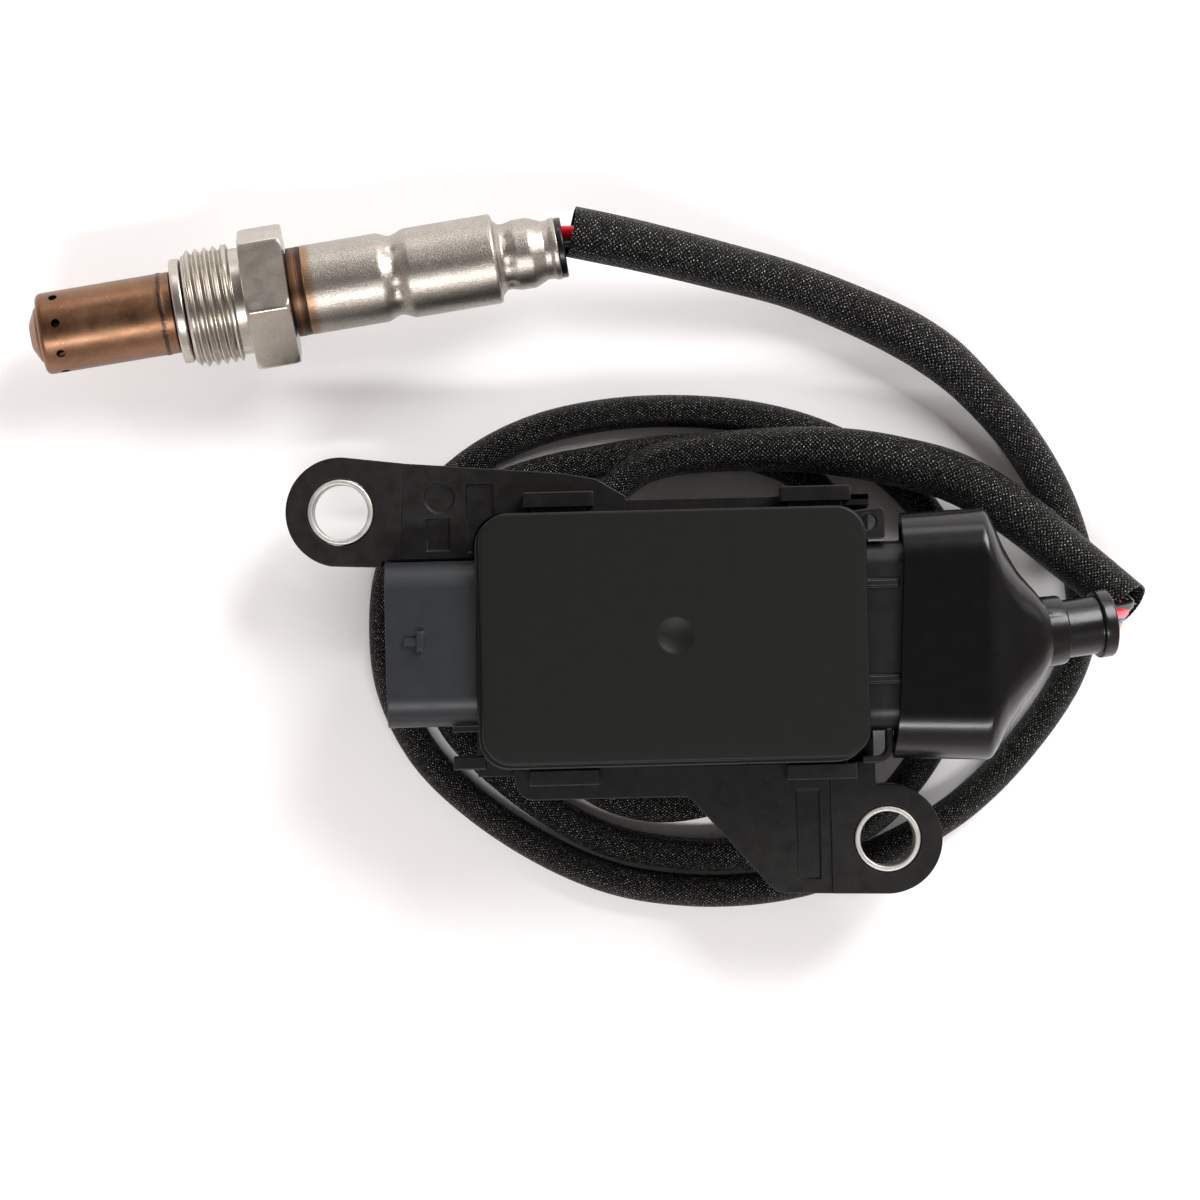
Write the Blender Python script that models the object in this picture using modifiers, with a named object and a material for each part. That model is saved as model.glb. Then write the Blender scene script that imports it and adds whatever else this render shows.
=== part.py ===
"""Nitrogen oxide sensor: exhaust probe, control unit and the braided cable between them.

Units are metres and +Z is up. The object lies on the floor at z = 0, seen from above:
the probe is at the upper left, the control unit at the lower right on its coiled cable.
Turned pieces of the probe are drawn about their own Z axis, which runs from the tip of
the probe to its cable end. The control unit is drawn about the centre of its lid.
"""
import math

import bmesh
import bpy
from mathutils import Matrix, Vector

GAP = 0.0003                      # clearance between two pieces that touch
CUT_MARGIN = 0.002                # how far a cutter reaches past what it cuts
MERGE = 0.000001                  # merge distance for welded seams

# Probe: where it lies
PROBE_TIP = (-0.09128, 0.03661)   # tip of the probe on the floor plan
PROBE_YAW = math.radians(9.5)     # axis turned to the left of +X
ROUND_STEPS = 26                  # steps round the outer pieces
INNER_STEPS = 20                  # steps round the pieces inside

# Probe: protection tubes
TUBE_RADIUS = 0.0069
TUBE_WALL = 0.0005
TUBE_END = 0.0246
TUBE_SHOULDER = 0.0017            # the nose stands this far in front of the shoulder
TUBE_FILLET = 0.0011
NOSE_RADIUS = 0.0046
NOSE_FLAT_RADIUS = 0.0022
WELD_BEAD_AT = 0.0227
WELD_BEAD_WIDTH = 0.0010
WELD_BEAD_HEIGHT = 0.00015
GAS_HOLE_COUNT = 8
GAS_HOLE_DIAMETER = 0.0015
GAS_HOLE_AT = 0.0049
GAS_HOLE_TURN = math.radians(35.5)
INNER_TUBE_RADIUS = 0.0046
INNER_TUBE_WALL = 0.0004
INNER_TUBE_FRONT = 0.0036
INNER_TUBE_VENT_DIAMETER = 0.0016
INNER_TUBE_HOLE_COUNT = 4
INNER_TUBE_HOLE_DIAMETER = 0.0012
INNER_TUBE_HOLE_AT = 0.0150

# Probe: shell, sealing ring and screw
SHELL_RADIUS = 0.0067
SHELL_BORE = 0.0046
SHELL_FRONT = 0.0175
SHELL_REAR = 0.0520
SHELL_STEP_AT = 0.0195            # where the inner protection tube seats
BUSH_SEAT_AT = 0.0235
ELEMENT_BORE = 0.0030
RING_RADIUS = 0.00885
RING_WIDTH = 0.0018
RING_CHAMFER = 0.0003
COLLAR_RADIUS = 0.00765
COLLAR_WIDTH = 0.0020
NUT_THREAD_RADIUS = 0.0100        # M20 thread, drawn at its outer diameter
NUT_THREAD_LENGTH = 0.0075
NUT_THREAD_CHAMFER = 0.0010
NUT_NECK_RADIUS = 0.0090
NUT_NECK_LENGTH = 0.0025
HEX_ACROSS_FLATS = 0.0220
HEX_HEIGHT = 0.0073
HEX_CHAMFER = 0.0009
HEX_TURN = math.radians(13.4)     # one corner leans this far from straight up

# Probe: what is inside
ELEMENT_WIDTH = 0.0042
ELEMENT_THICKNESS = 0.0013
ELEMENT_FRONT = 0.0060
ELEMENT_REAR = 0.0660
FRONT_BUSH_LENGTH = 0.0062
POWDER_LENGTH = 0.0057
REAR_BUSH_LENGTH = 0.0137
HOLDER_RADIUS = 0.0054
HOLDER_START = 0.0550
HOLDER_LENGTH = 0.0140
SPRING_RADIUS = 0.00035
SPRING_PITCH = 0.0014
SPRING_START = 0.0570
SPRING_BEND_AT = 0.0715
SPRING_END = 0.0765

# Probe: rear sleeve and grommet
SLEEVE_RADIUS = 0.00755
SLEEVE_WALL = 0.0005
CRIMP_AT = 0.0623
CRIMP_HALF_WIDTH = 0.0027
CRIMP_DEPTH = 0.0007
CRIMP_DIMPLE_COUNT = 6
CRIMP_DIMPLE_DEPTH = 0.00035
CRIMP_DIMPLE_SIZE = 0.0012
CRIMP_DIMPLE_TURN = math.radians(27.0)
BARREL_RADIUS = 0.0076
BARREL_END = 0.0780
REAR_RADIUS = 0.00595
REAR_START = 0.0803
REAR_END = 0.0860
LIP_NECK_RADIUS = 0.00495
LIP_NECK_AT = 0.0882
LIP_RADIUS = 0.00525
SLEEVE_END = 0.0900
GROMMET_START = 0.0812
GROMMET_END = 0.0908
GROMMET_CAP_RADIUS = 0.0049
WIRE_COUNT = 5
WIRE_DIAMETER = 0.0017
WIRE_PITCH_RADIUS = 0.0020
WIRE_TURN = math.radians(-90.0)   # the first wire is on the side away from the coil
WIRE_START = SPRING_END + GAP
PROBE_WIRE_SPREAD = 1.10          # the wires part by this factor on their way to the mouth
PROBE_WIRE_SHIFT = 0.00040        # and lean this far towards it
PROBE_WIRE_LIFT = 0.0002

# Control unit: where it lies
UNIT_CENTRE = (0.01685, -0.01370)
UNIT_YAW = math.radians(1.4)
UNIT_BASE = 0.0117                # underside of the bracket, resting on crossed strands

# Control unit: bracket. Outlines are (x, y, corner radius).
PLATE_THICKNESS = 0.0034
PLATE_LEFT = -0.0333
PLATE_RIGHT = 0.0332
WING_HEIGHT = 0.0080
PAD_STEP = 0.0005                 # the ears stand this far above the wings
EAR_RADIUS = 0.0092
LEFT_EAR = (-0.0552, 0.0219)
RIGHT_EAR = (0.0350, -0.0349)
LEFT_EAR_ARC = (86, 258, 11)      # from and to in degrees, and steps
RIGHT_EAR_ARC = (-92, 96, 12)
BACK_EDGE = [(-0.0074, 0.0235, 0), (-0.0123, 0.0265, 0.0040), (-0.0181, 0.0276, 0),
             (-0.0348, 0.0290, 0), (-0.0443, 0.0298, 0)]
FRONT_EDGE = [(-0.0261, -0.0271, 0.0030), (0.0020, -0.0271, 0.0030),
              (0.0162, -0.0436, 0.0040)]
FRONT_CORNER = (-0.0273, -0.0231, 0)
BAY_RIGHT = 0.0450
BAY_CORNERS = [(PLATE_LEFT, 0.0136, 0), (-0.0484, 0.0136, 0.0004), (-0.0488, 0.0110, 0),
               (-0.0620, 0.0110, 0), (-0.0620, -0.0300, 0), (-0.0300, -0.0300, 0)]
LEFT_EAR_FOOT = (PLATE_LEFT, 0.0118, 0)
RIGHT_INNER_EDGE = (PLATE_RIGHT, -0.0257, 0.0004)
SIDE_WALL = 0.0012
WING_SKIN = 0.0020
LEFT_STEP = [(-0.0443, 0.0330, 0), (-0.0456, 0.0100, 0), (0.0450, 0.0100, 0),
             (0.0450, 0.0330, 0)]
RIGHT_STEP = [(0.0256, -0.0190, 0), (-0.0290, -0.0190, 0), (-0.0290, -0.0460, 0),
              (0.0256, -0.0460, 0)]
RECESS_DEPTH = 0.0004
RECESSES = ((-0.0409, -0.0370, 0.0151, 0.0204), (-0.0341, -0.0301, 0.0222, 0.0260),
            (0.0199, 0.0237, -0.0413, -0.0264))
DIAL_RADIUS = 0.0025
DIAL_AT = (-0.0386, 0.0239)
DIAL_STEPS = 20
POCKET_CORNER = 0.0010
POCKETS = (((-0.0433, 0.0156), (-0.0401, 0.0156), (-0.0401, 0.0273), (-0.0426, 0.0275)),
           ((-0.0385, 0.0156), (-0.0352, 0.0156), (-0.0352, 0.0269), (-0.0385, 0.0271)),
           ((0.0040, -0.0269), (0.0159, -0.0269), (0.0159, -0.0406)),
           ((0.0175, -0.0269), (0.0245, -0.0269), (0.0245, -0.0418), (0.0175, -0.0418)))
HOOK_STANDOFF = 0.0012            # from the housing's back wall to its clips
HOOK_LENGTH = 0.0116
HOOK_DEPTH = 0.0026
HOOK_WALL = 0.0009
HOOK_SLOT_LENGTH = 0.0095
HOOK_SLOT_DEPTH = 0.0080
HOOK_TOP = 0.0180                 # above the underside of the bracket
HOOK_CENTRES = (-0.0187, 0.0240)
ARM_OUTLINE = [(0.0289, 0.0220, 0), (0.0332, 0.0220, 0), (0.0348, 0.0207, 0),
               (0.0370, 0.0202, 0), (0.0320, 0.0255, 0), (0.0269, 0.0257, 0)]
ARM_THICKNESS = 0.0016

# Control unit: bushings
BUSHING_RADIUS = 0.0055
BUSHING_BORE = 0.0046
BUSHING_PROUD = 0.0003
BUSHING_CHAMFER = 0.0003

# Control unit: housing
HOUSING_LEFT = -0.0327
HOUSING_RIGHT = 0.0315
HOUSING_BACK = 0.0205
HOUSING_FRONT = -0.02155
HOUSING_CORNER = 0.0050
HOUSING_WALL = 0.0020
HOUSING_HEIGHT = 0.0167
NOSE_LENGTH = 0.0088
NOSE_DEPTH = 0.0008
NOSE_HEIGHT = 0.0020
BOARD_POST_RADIUS = 0.0020
BOARD_POST_HEIGHT = 0.0010
BOARD_POST_INSET = 0.0040
BOARD_POST_STEPS = 12
SHROUD_LEFT = -0.0478
SHROUD_WIDTH = 0.0275
SHROUD_HEIGHT = 0.0162
SHROUD_CORNER = 0.0050
SHROUD_WALL = 0.0018
SHROUD_CENTRE = -0.0005           # across the unit
LATCH_RIB = (-0.0448, -0.0425, -0.0005, 0.0005, 0.0009)    # left, right, front, back, height
LATCH_HEAD = (-0.0427, -0.0414, -0.0014, 0.0016, 0.0013)
PRONG_LEFT = -0.0371
PRONG_DEPTH = 0.0010              # how far a prong reaches into the housing's wall
PRONG_SIDES = ((-0.0153, -0.0128), (-0.0215, -0.0193))
PRONG_BELOW = 0.0030              # below and above the middle of the housing
PRONG_ABOVE = 0.0040
NECK_END = 0.0438
NECK_WIDTH = 0.0315
NECK_HEIGHT = 0.0128
NECK_CORNER = 0.0040
NECK_WALL = 0.0018
NECK_FLANGE_WIDTH = 0.0370
NECK_FLANGE_HEIGHT = 0.0132
NECK_FLANGE_LENGTH = 0.0036
NECK_CENTRE = -0.0009             # across the unit
NECK_RIB_HEIGHT = 0.0008
NECK_RIB_WIDTH = 0.0011
NECK_RIB_END = 0.0374
NECK_RIB_PLACES = (0.0079, -0.0080)
TAB_OUTLINE = [(0.0284, 0.0152, 0), (0.0353, 0.0152, 0.0006), (0.0353, 0.0206, 0.0006),
               (0.0284, 0.0198, 0)]
TAB_HOLE_DIAMETER = 0.0026
TAB_HOLE_AT = (0.0327, 0.0181)
TAB_THICKNESS = 0.0030
TAB_BELOW_RIM = 0.0030
GUARD_ROOT = 0.00225              # how far the guard reaches into the neck
GUARD_END = NECK_CENTRE - NECK_WIDTH / 2 + GUARD_ROOT
GUARD_OUTLINE = [(0.0349, GUARD_END, 0), (0.0349, -0.0209, 0.0015), (0.0308, -0.0209, 0),
                 (0.0308, -0.0220, 0), (0.0360, -0.0220, 0.0026), (0.0360, GUARD_END, 0)]
GUARD_CLEARANCE = 0.0006

# Control unit: lid
LID_LENGTH = 0.0641
LID_WIDTH = 0.0417
LID_THICKNESS = 0.0026
LID_CORNER = 0.0050
LID_EDGE = 0.0005
LID_EDGE_ANGLE = math.radians(60)
LID_PLUG = 0.0015
DIMPLE_DIAMETER = 0.0061
DIMPLE_DEPTH = 0.0006
DIMPLE_AT = (0.0002, 0.0)
DIMPLE_STEPS = 24

# Control unit: electronics and plug pins
BOARD_THICKNESS = 0.0016
BOARD_CLEARANCE = 0.0006
CHIPS = (("processor", (-0.0130, -0.0060), (0.0120, 0.0120, 0.0016)),
         ("driver_chip", (0.0060, 0.0060), (0.0090, 0.0070, 0.0018)),
         ("power_chip", (-0.0150, 0.0110), (0.0060, 0.0050, 0.0022)))
CAPACITOR_RADIUS = 0.0030
CAPACITOR_HEIGHT = 0.0060
CAPACITOR_PLACES = ((0.0050, -0.0120), (0.0140, -0.0120))
PIN_COUNT = 5
PIN_PITCH = 0.0040
PIN_SIZE = 0.0008
PIN_TIP = -0.0433
PIN_BEND = -0.0270

# Control unit: rubber boot and its grommet
BOOT_WALL = 0.0016
BOOT_RING_POINTS = 28
# Sections: along, across, half width, half height, corner, yaw in degrees
BOOT_SECTIONS = ((0.0381, -0.0009, 0.0204, 0.0085, 0.0078, -2.5),
                 (0.0522, -0.0010, 0.0210, 0.0087, 0.0080, 0.0),
                 (0.0534, -0.0013, 0.0191, 0.0085, 0.0078, 0.0),
                 (0.0553, -0.0015, 0.0149, 0.0080, 0.0074, 0.6),
                 (0.0577, -0.0016, 0.0109, 0.0074, 0.0070, 1.7),
                 (0.0601, -0.0014, 0.0078, 0.0066, 0.0064, 3.4))
BOOT_HOLLOW_SECTIONS = 5
BOOT_STRAIGHT_SECTIONS = 2
NOZZLE_AT = (0.0630, -0.0008)
NOZZLE_YAW = math.radians(6.6)
NOZZLE_PITCH = math.radians(15)   # the tube leans down towards the cable
COLLAR_OUTER = 0.00580
COLLAR_HALF_LENGTH = 0.0016
TUBE_GROMMET_RADIUS = 0.00485
TUBE_GROMMET_BORE = 0.0034
TUBE_GROMMET_START = -0.0014
TUBE_GROMMET_END = 0.0107
TUBE_FLANGE_RADIUS = 0.00565
TUBE_FLANGE_WIDTH = 0.0020

# Control unit: its wires. Route points are (along, across, height above the middle).
BUNDLE_PITCH_RADIUS = 0.00178
WIRE_PAD_PITCH = 0.0030
WIRE_PAD_START = 0.0240
WIRE_PAD_END = 0.0275
WIRE_PAD_ORDER = (2, 0, 1, 3, 4)
UNIT_WIRE_POINTS = 28
UNIT_WIRE_ROUTE = [(0.0430, -0.0009, 0.0), (0.0520, -0.0009, 0.0), (0.0580, -0.0010, 0.0004),
                   (0.0620, -0.0009, 0.0003), (0.0655, -0.0005, -0.0006),
                   (0.0700, 0.0000, -0.0019), (0.0736, 0.0004, -0.0029),
                   (0.0762, 0.0006, -0.0040), (0.0781, 0.0005, -0.0062),
                   (0.0788, 0.0011, -0.0086), (0.0777, 0.0022, -0.0102)]

# Braided sleeve of the cable. Route points are (x, y, z, radius).
CABLE_POINTS = 80
CABLE_ROUTE = [
    (0.00077, 0.05399, 0.0130, 0.00435), (0.00487, 0.05319, 0.0126, 0.00435),
    (0.01297, 0.05149, 0.0112, 0.00425), (0.02487, 0.04869, 0.0084, 0.00410),
    (0.03677, 0.04559, 0.0056, 0.00395), (0.04697, 0.04169, 0.0044, 0.00410),
    (0.05627, 0.03729, 0.0044, 0.00425), (0.06277, 0.03309, 0.0043, 0.00410),
    (0.06817, 0.02819, 0.0039, 0.00370), (0.07507, 0.02039, 0.0037, 0.00350),
    (0.08047, 0.01189, 0.0035, 0.00340), (0.08387, 0.00409, 0.0033, 0.00320),
    (0.08647, -0.00611, 0.0030, 0.00290), (0.08597, -0.01461, 0.0029, 0.00275),
    (0.08407, -0.02051, 0.0028, 0.00275), (0.08117, -0.02561, 0.0028, 0.00275),
    (0.07707, -0.03121, 0.0028, 0.00275), (0.07187, -0.03721, 0.0028, 0.00275),
    (0.06607, -0.04251, 0.0028, 0.00275), (0.06067, -0.04621, 0.0028, 0.00275),
    (0.05297, -0.05031, 0.0028, 0.00275), (0.04537, -0.05331, 0.0028, 0.00275),
    (0.03907, -0.05541, 0.0028, 0.00275), (0.03007, -0.05691, 0.0028, 0.00275),
    (0.01987, -0.05711, 0.0028, 0.00275), (0.00797, -0.05541, 0.0028, 0.00275),
    (-0.00313, -0.05111, 0.0028, 0.00275), (-0.01583, -0.04311, 0.0028, 0.00275),
    (-0.02513, -0.03411, 0.0028, 0.00275), (-0.03063, -0.02311, 0.0028, 0.00275),
    (-0.03193, -0.01291, 0.0028, 0.00275), (-0.03083, -0.00271, 0.0028, 0.00275),
    (-0.02603, 0.00659, 0.0028, 0.00275), (-0.01753, 0.01509, 0.0028, 0.00275),
    (-0.00733, 0.02059, 0.0028, 0.00275), (0.00457, 0.02349, 0.0028, 0.00275),
    (0.01817, 0.02429, 0.0028, 0.00275), (0.03177, 0.02299, 0.0028, 0.00275),
    (0.04367, 0.01939, 0.0028, 0.00275), (0.05467, 0.01289, 0.0028, 0.00275),
    (0.06237, 0.00319, 0.0028, 0.00275), (0.06607, -0.00951, 0.0028, 0.00275),
    (0.06537, -0.02141, 0.0030, 0.00275), (0.06137, -0.03121, 0.0046, 0.00275),
    (0.05617, -0.03891, 0.0070, 0.00275), (0.05067, -0.04451, 0.0083, 0.00275),
    (0.04427, -0.04791, 0.0078, 0.00275), (0.03677, -0.05001, 0.0052, 0.00275),
    (0.02837, -0.05091, 0.0035, 0.00275), (0.01817, -0.05081, 0.0028, 0.00275),
    (0.00797, -0.04911, 0.0028, 0.00275), (-0.00053, -0.04541, 0.0028, 0.00275),
    (-0.01163, -0.03771, 0.0028, 0.00275), (-0.02043, -0.02851, 0.0028, 0.00275),
    (-0.02343, -0.01801, 0.0036, 0.00275), (-0.02373, -0.00781, 0.0062, 0.00275),
    (-0.02113, 0.00419, 0.0086, 0.00275), (-0.01303, 0.01079, 0.0066, 0.00275),
    (-0.00413, 0.01409, 0.0036, 0.00275), (0.00287, 0.01549, 0.0028, 0.00275),
    (0.01137, 0.01699, 0.0028, 0.00275), (0.01987, 0.01769, 0.0028, 0.00275),
    (0.02837, 0.01719, 0.0028, 0.00275), (0.03717, 0.01429, 0.0028, 0.00275),
    (0.04397, 0.00779, 0.0028, 0.00275), (0.04757, -0.00271, 0.0028, 0.00275),
    (0.04707, -0.01541, 0.0028, 0.00275), (0.04277, -0.02681, 0.0028, 0.00275),
    (0.03377, -0.03701, 0.0028, 0.00275), (0.02157, -0.04211, 0.0028, 0.00275),
    (0.01137, -0.04251, 0.0028, 0.00275), (0.00197, -0.03841, 0.0028, 0.00275),
    (-0.00423, -0.02961, 0.0028, 0.00275), (-0.00633, -0.01801, 0.0028, 0.00275),
    (-0.00473, -0.00611, 0.0042, 0.00275), (-0.00053, 0.00319, 0.0066, 0.00275),
    (0.00287, 0.00729, 0.0080, 0.00275), (0.00537, 0.00959, 0.0085, 0.00275),
    (0.00827, 0.01209, 0.0086, 0.00275), (0.01127, 0.01429, 0.0088, 0.00285),
    (0.01567, 0.01599, 0.0091, 0.00310), (0.02437, 0.01719, 0.0093, 0.00340),
    (0.03297, 0.01759, 0.0098, 0.00370), (0.04167, 0.01749, 0.0100, 0.00400),
    (0.05017, 0.01649, 0.0103, 0.00420), (0.05587, 0.01529, 0.0103, 0.00430),
    (0.06197, 0.01379, 0.0096, 0.00430), (0.06727, 0.01159, 0.0090, 0.00430),
    (0.07217, 0.00859, 0.0092, 0.00430), (0.07717, 0.00499, 0.0100, 0.00430),
    (0.08247, 0.00059, 0.0106, 0.00420), (0.08797, -0.00391, 0.0114, 0.00410),
    (0.09347, -0.00861, 0.0130, 0.00410), 
]

PLATE_TOP = UNIT_BASE + PLATE_THICKNESS
CLIP_BACK = HOUSING_BACK + HOOK_STANDOFF
CLIP_FRONT = HOUSING_FRONT - GAP
WING_TOP = UNIT_BASE + WING_HEIGHT
PAD_TOP = WING_TOP + PAD_STEP
HOUSING_BOTTOM = PLATE_TOP + GAP
HOUSING_TOP = HOUSING_BOTTOM + HOUSING_HEIGHT
FLOOR_TOP = HOUSING_BOTTOM + HOUSING_WALL
BOARD_BOTTOM = FLOOR_TOP + BOARD_POST_HEIGHT + GAP
BOARD_TOP = BOARD_BOTTOM + BOARD_THICKNESS
MIDDLE = HOUSING_BOTTOM + HOUSING_HEIGHT / 2
LID_BOTTOM = HOUSING_TOP + GAP
RING_START = TUBE_END + GAP
NUT_START = RING_START + RING_WIDTH + GAP
HEX_START = NUT_START + NUT_THREAD_LENGTH + NUT_NECK_LENGTH
COLLAR_START = HEX_START + HEX_HEIGHT + GAP
SLEEVE_START = COLLAR_START + COLLAR_WIDTH + GAP
HEX_CORNER_RADIUS = HEX_ACROSS_FLATS / 2 / math.cos(math.radians(30))

# Finishes: colour, roughness, metallic
FINISHES = {
    "heated steel": ((0.262, 0.115, 0.060), 0.38, 1.0),
    "stainless steel": ((0.560, 0.540, 0.510), 0.32, 1.0),
    "zinc steel": ((0.480, 0.490, 0.500), 0.30, 1.0),
    "ceramic": ((0.750, 0.730, 0.680), 0.60, 0.0),
    "pressed powder": ((0.420, 0.410, 0.380), 0.90, 0.0),
    "spring metal": ((0.620, 0.600, 0.550), 0.30, 1.0),
    "black plastic": ((0.021, 0.021, 0.022), 0.55, 0.0),
    "grey plastic": ((0.040, 0.043, 0.047), 0.50, 0.0),
    "black rubber": ((0.012, 0.012, 0.012), 0.35, 0.0),
    "circuit board": ((0.020, 0.120, 0.050), 0.50, 0.0),
    "capacitor can": ((0.560, 0.565, 0.570), 0.35, 1.0),
    "chip black": ((0.015, 0.015, 0.016), 0.45, 0.0),
    "tinned brass": ((0.620, 0.580, 0.480), 0.25, 1.0),
    "braid": ((0.016, 0.016, 0.017), 0.70, 0.0),
    "red wire": ((0.560, 0.012, 0.020), 0.40, 0.0),
    "orange wire": ((0.640, 0.180, 0.020), 0.40, 0.0),
    "black wire": ((0.012, 0.012, 0.013), 0.40, 0.0),
    "white wire": ((0.640, 0.630, 0.600), 0.40, 0.0),
    "blue wire": ((0.020, 0.060, 0.320), 0.40, 0.0),
}
WIRE_FINISHES = ("red wire", "orange wire", "black wire", "blue wire", "white wire")


def finish(name):
    """Return the material of that name, made from its colour, roughness and metallic."""
    material = bpy.data.materials.get(name)
    if material is None:
        colour, roughness, metallic = FINISHES[name]
        material = bpy.data.materials.new(name)
        material.use_nodes = True
        shader = material.node_tree.nodes["Principled BSDF"]
        shader.inputs["Base Color"].default_value = (*colour, 1.0)
        shader.inputs["Roughness"].default_value = roughness
        shader.inputs["Metallic"].default_value = metallic
        material.diffuse_color = (*colour, 1.0)
    return material


def clear_scene():
    """Remove every object of the open scene and make the two collections."""
    for item in list(bpy.data.objects):
        bpy.data.objects.remove(item, do_unlink=True)
    for name in ("nitrogen oxide sensor", "cutters"):
        collection = bpy.data.collections.new(name)
        bpy.context.scene.collection.children.link(collection)


def frame(name, parent=None):
    """Return an empty that carries pieces."""
    empty = bpy.data.objects.new(name, None)
    empty.parent = parent
    bpy.data.collections["nitrogen oxide sensor"].objects.link(empty)
    return empty


def piece(name, mesh, look, parent):
    """Put a mesh into the scene as one piece with its own material."""
    item = bpy.data.objects.new(name, mesh)
    item.parent = parent
    mesh.materials.clear()
    mesh.materials.append(finish(look))
    bpy.data.collections["nitrogen oxide sensor"].objects.link(item)
    return item


def tool(mesh, parent):
    """Put a mesh into the scene as a hidden cutter or an addition to a piece."""
    item = bpy.data.objects.new("tool", mesh)
    item.parent = parent
    item.hide_render = True
    item.display_type = "WIRE"
    bpy.data.collections["cutters"].objects.link(item)
    return item


def combine(item, mesh, operation):
    """Add a Boolean of the given kind between a piece and a tool mesh."""
    modifier = item.modifiers.new(operation.lower(), "BOOLEAN")
    modifier.operation = operation
    modifier.object = tool(mesh, item.parent)


def cut(item, mesh):
    """Take a mesh away from a piece."""
    combine(item, mesh, "DIFFERENCE")


def join(item, mesh):
    """Add a mesh to a piece."""
    combine(item, mesh, "UNION")


def smooth(mesh, angle=35):
    """Shade a mesh smooth, with sharp edges past the angle in degrees."""
    mesh.shade_smooth()
    mesh.set_sharp_from_angle(angle=math.radians(angle))


def filleted(corners, step=22):
    """Return the points of a closed outline.

    Each corner is (x, y, radius), and its round is an arc with a point every step degrees.
    """
    points = []
    for index, (x, y, radius) in enumerate(corners):
        corner = Vector((x, y))
        if radius <= 0:
            points.append(corner)
            continue
        before = (Vector(corners[index - 1][:2]) - corner).normalized()
        after = (Vector(corners[(index + 1) % len(corners)][:2]) - corner).normalized()
        half = before.angle(after) / 2
        centre = corner + (before + after).normalized() * radius / math.sin(half)
        start = corner + before * radius / math.tan(half) - centre
        sweep = math.pi - 2 * half
        turn = 1 if before.cross(after) < 0 else -1
        steps = max(1, math.ceil(math.degrees(sweep) / step))
        for number in range(steps + 1):
            angle = turn * sweep * number / steps
            points.append(centre + Matrix.Rotation(angle, 2) @ start)
    return points


def arc(centre, radius, start, end, steps):
    """Return points on an arc between two angles in degrees, as (x, y, 0) corners."""
    corners = []
    for number in range(steps + 1):
        angle = math.radians(start + (end - start) * number / steps)
        corners.append((centre[0] + radius * math.cos(angle),
                        centre[1] + radius * math.sin(angle), 0))
    return corners


def rounded_rectangle(left, right, front, back, radius):
    """Return the four corners of a rectangle with one corner radius."""
    return [(left, front, radius), (right, front, radius),
            (right, back, radius), (left, back, radius)]


def plate(corners, bottom, top):
    """Return the mesh of a flat plate with the given outline."""
    curve = bpy.data.curves.new("outline", "CURVE")
    curve.dimensions = "2D"
    curve.fill_mode = "BOTH"
    curve.extrude = (top - bottom) / 2
    points = filleted(corners)
    spline = curve.splines.new("POLY")
    spline.points.add(len(points) - 1)
    for place, point in zip(spline.points, points):
        place.co = (point.x, point.y, 0, 1)
    spline.use_cyclic_u = True
    mesh = mesh_of(curve)
    mesh.transform(Matrix.Translation((0, 0, (top + bottom) / 2)))
    return mesh


def mesh_of(curve):
    """Return a curve's surface as a closed mesh and remove the curve."""
    holder = bpy.data.objects.new("curve", curve)
    bpy.context.scene.collection.objects.link(holder)
    evaluated = holder.evaluated_get(bpy.context.evaluated_depsgraph_get())
    mesh = bpy.data.meshes.new_from_object(evaluated)
    bpy.data.objects.remove(holder, do_unlink=True)
    bpy.data.curves.remove(curve)
    form = bmesh.new()
    form.from_mesh(mesh)
    bmesh.ops.remove_doubles(form, verts=form.verts, dist=MERGE)
    bmesh.ops.recalc_face_normals(form, faces=form.faces)
    form.to_mesh(mesh)
    form.free()
    return mesh


def block(low, high):
    """Return the mesh of a box between two corners."""
    form = bmesh.new()
    bmesh.ops.create_cube(form, size=1)
    size = Vector(high) - Vector(low)
    bmesh.ops.scale(form, vec=size, verts=form.verts)
    bmesh.ops.translate(form, vec=(Vector(high) + Vector(low)) / 2, verts=form.verts)
    mesh = bpy.data.meshes.new("block")
    form.to_mesh(mesh)
    form.free()
    return mesh


def rod(radius, start, end, steps=16, sides_turned=0.0):
    """Return the mesh of a straight rod between two points."""
    start = Vector(start)
    along = Vector(end) - start
    form = bmesh.new()
    bmesh.ops.create_cone(form, cap_ends=True, segments=steps, radius1=radius,
                          radius2=radius, depth=along.length)
    mesh = bpy.data.meshes.new("rod")
    form.to_mesh(mesh)
    form.free()
    mesh.transform(Matrix.Rotation(sides_turned, 4, "Z"))
    mesh.transform(along.to_track_quat("Z", "Y").to_matrix().to_4x4())
    mesh.transform(Matrix.Translation(start + along / 2))
    return mesh


def turned(profile, steps):
    """Return the mesh of a profile revolved about Z.

    The profile lists (height, radius) down the outer side. One that starts and ends on
    the axis makes a solid, and any other is closed into a ring.
    """
    mesh = bpy.data.meshes.new("turned")
    points = [(radius, 0, height) for height, radius in profile]
    edges = [(number, number + 1) for number in range(len(points) - 1)]
    if profile[0][1] > 0:
        edges.append((len(points) - 1, 0))
    mesh.from_pydata(points, edges, [])
    holder = bpy.data.objects.new("turned", mesh)
    bpy.context.scene.collection.objects.link(holder)
    screw = holder.modifiers.new("screw", "SCREW")
    screw.steps = screw.render_steps = steps
    screw.use_merge_vertices = True
    screw.merge_threshold = MERGE
    evaluated = holder.evaluated_get(bpy.context.evaluated_depsgraph_get())
    solid = bpy.data.meshes.new_from_object(evaluated)
    bpy.data.objects.remove(holder, do_unlink=True)
    smooth(solid)
    return solid


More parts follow.
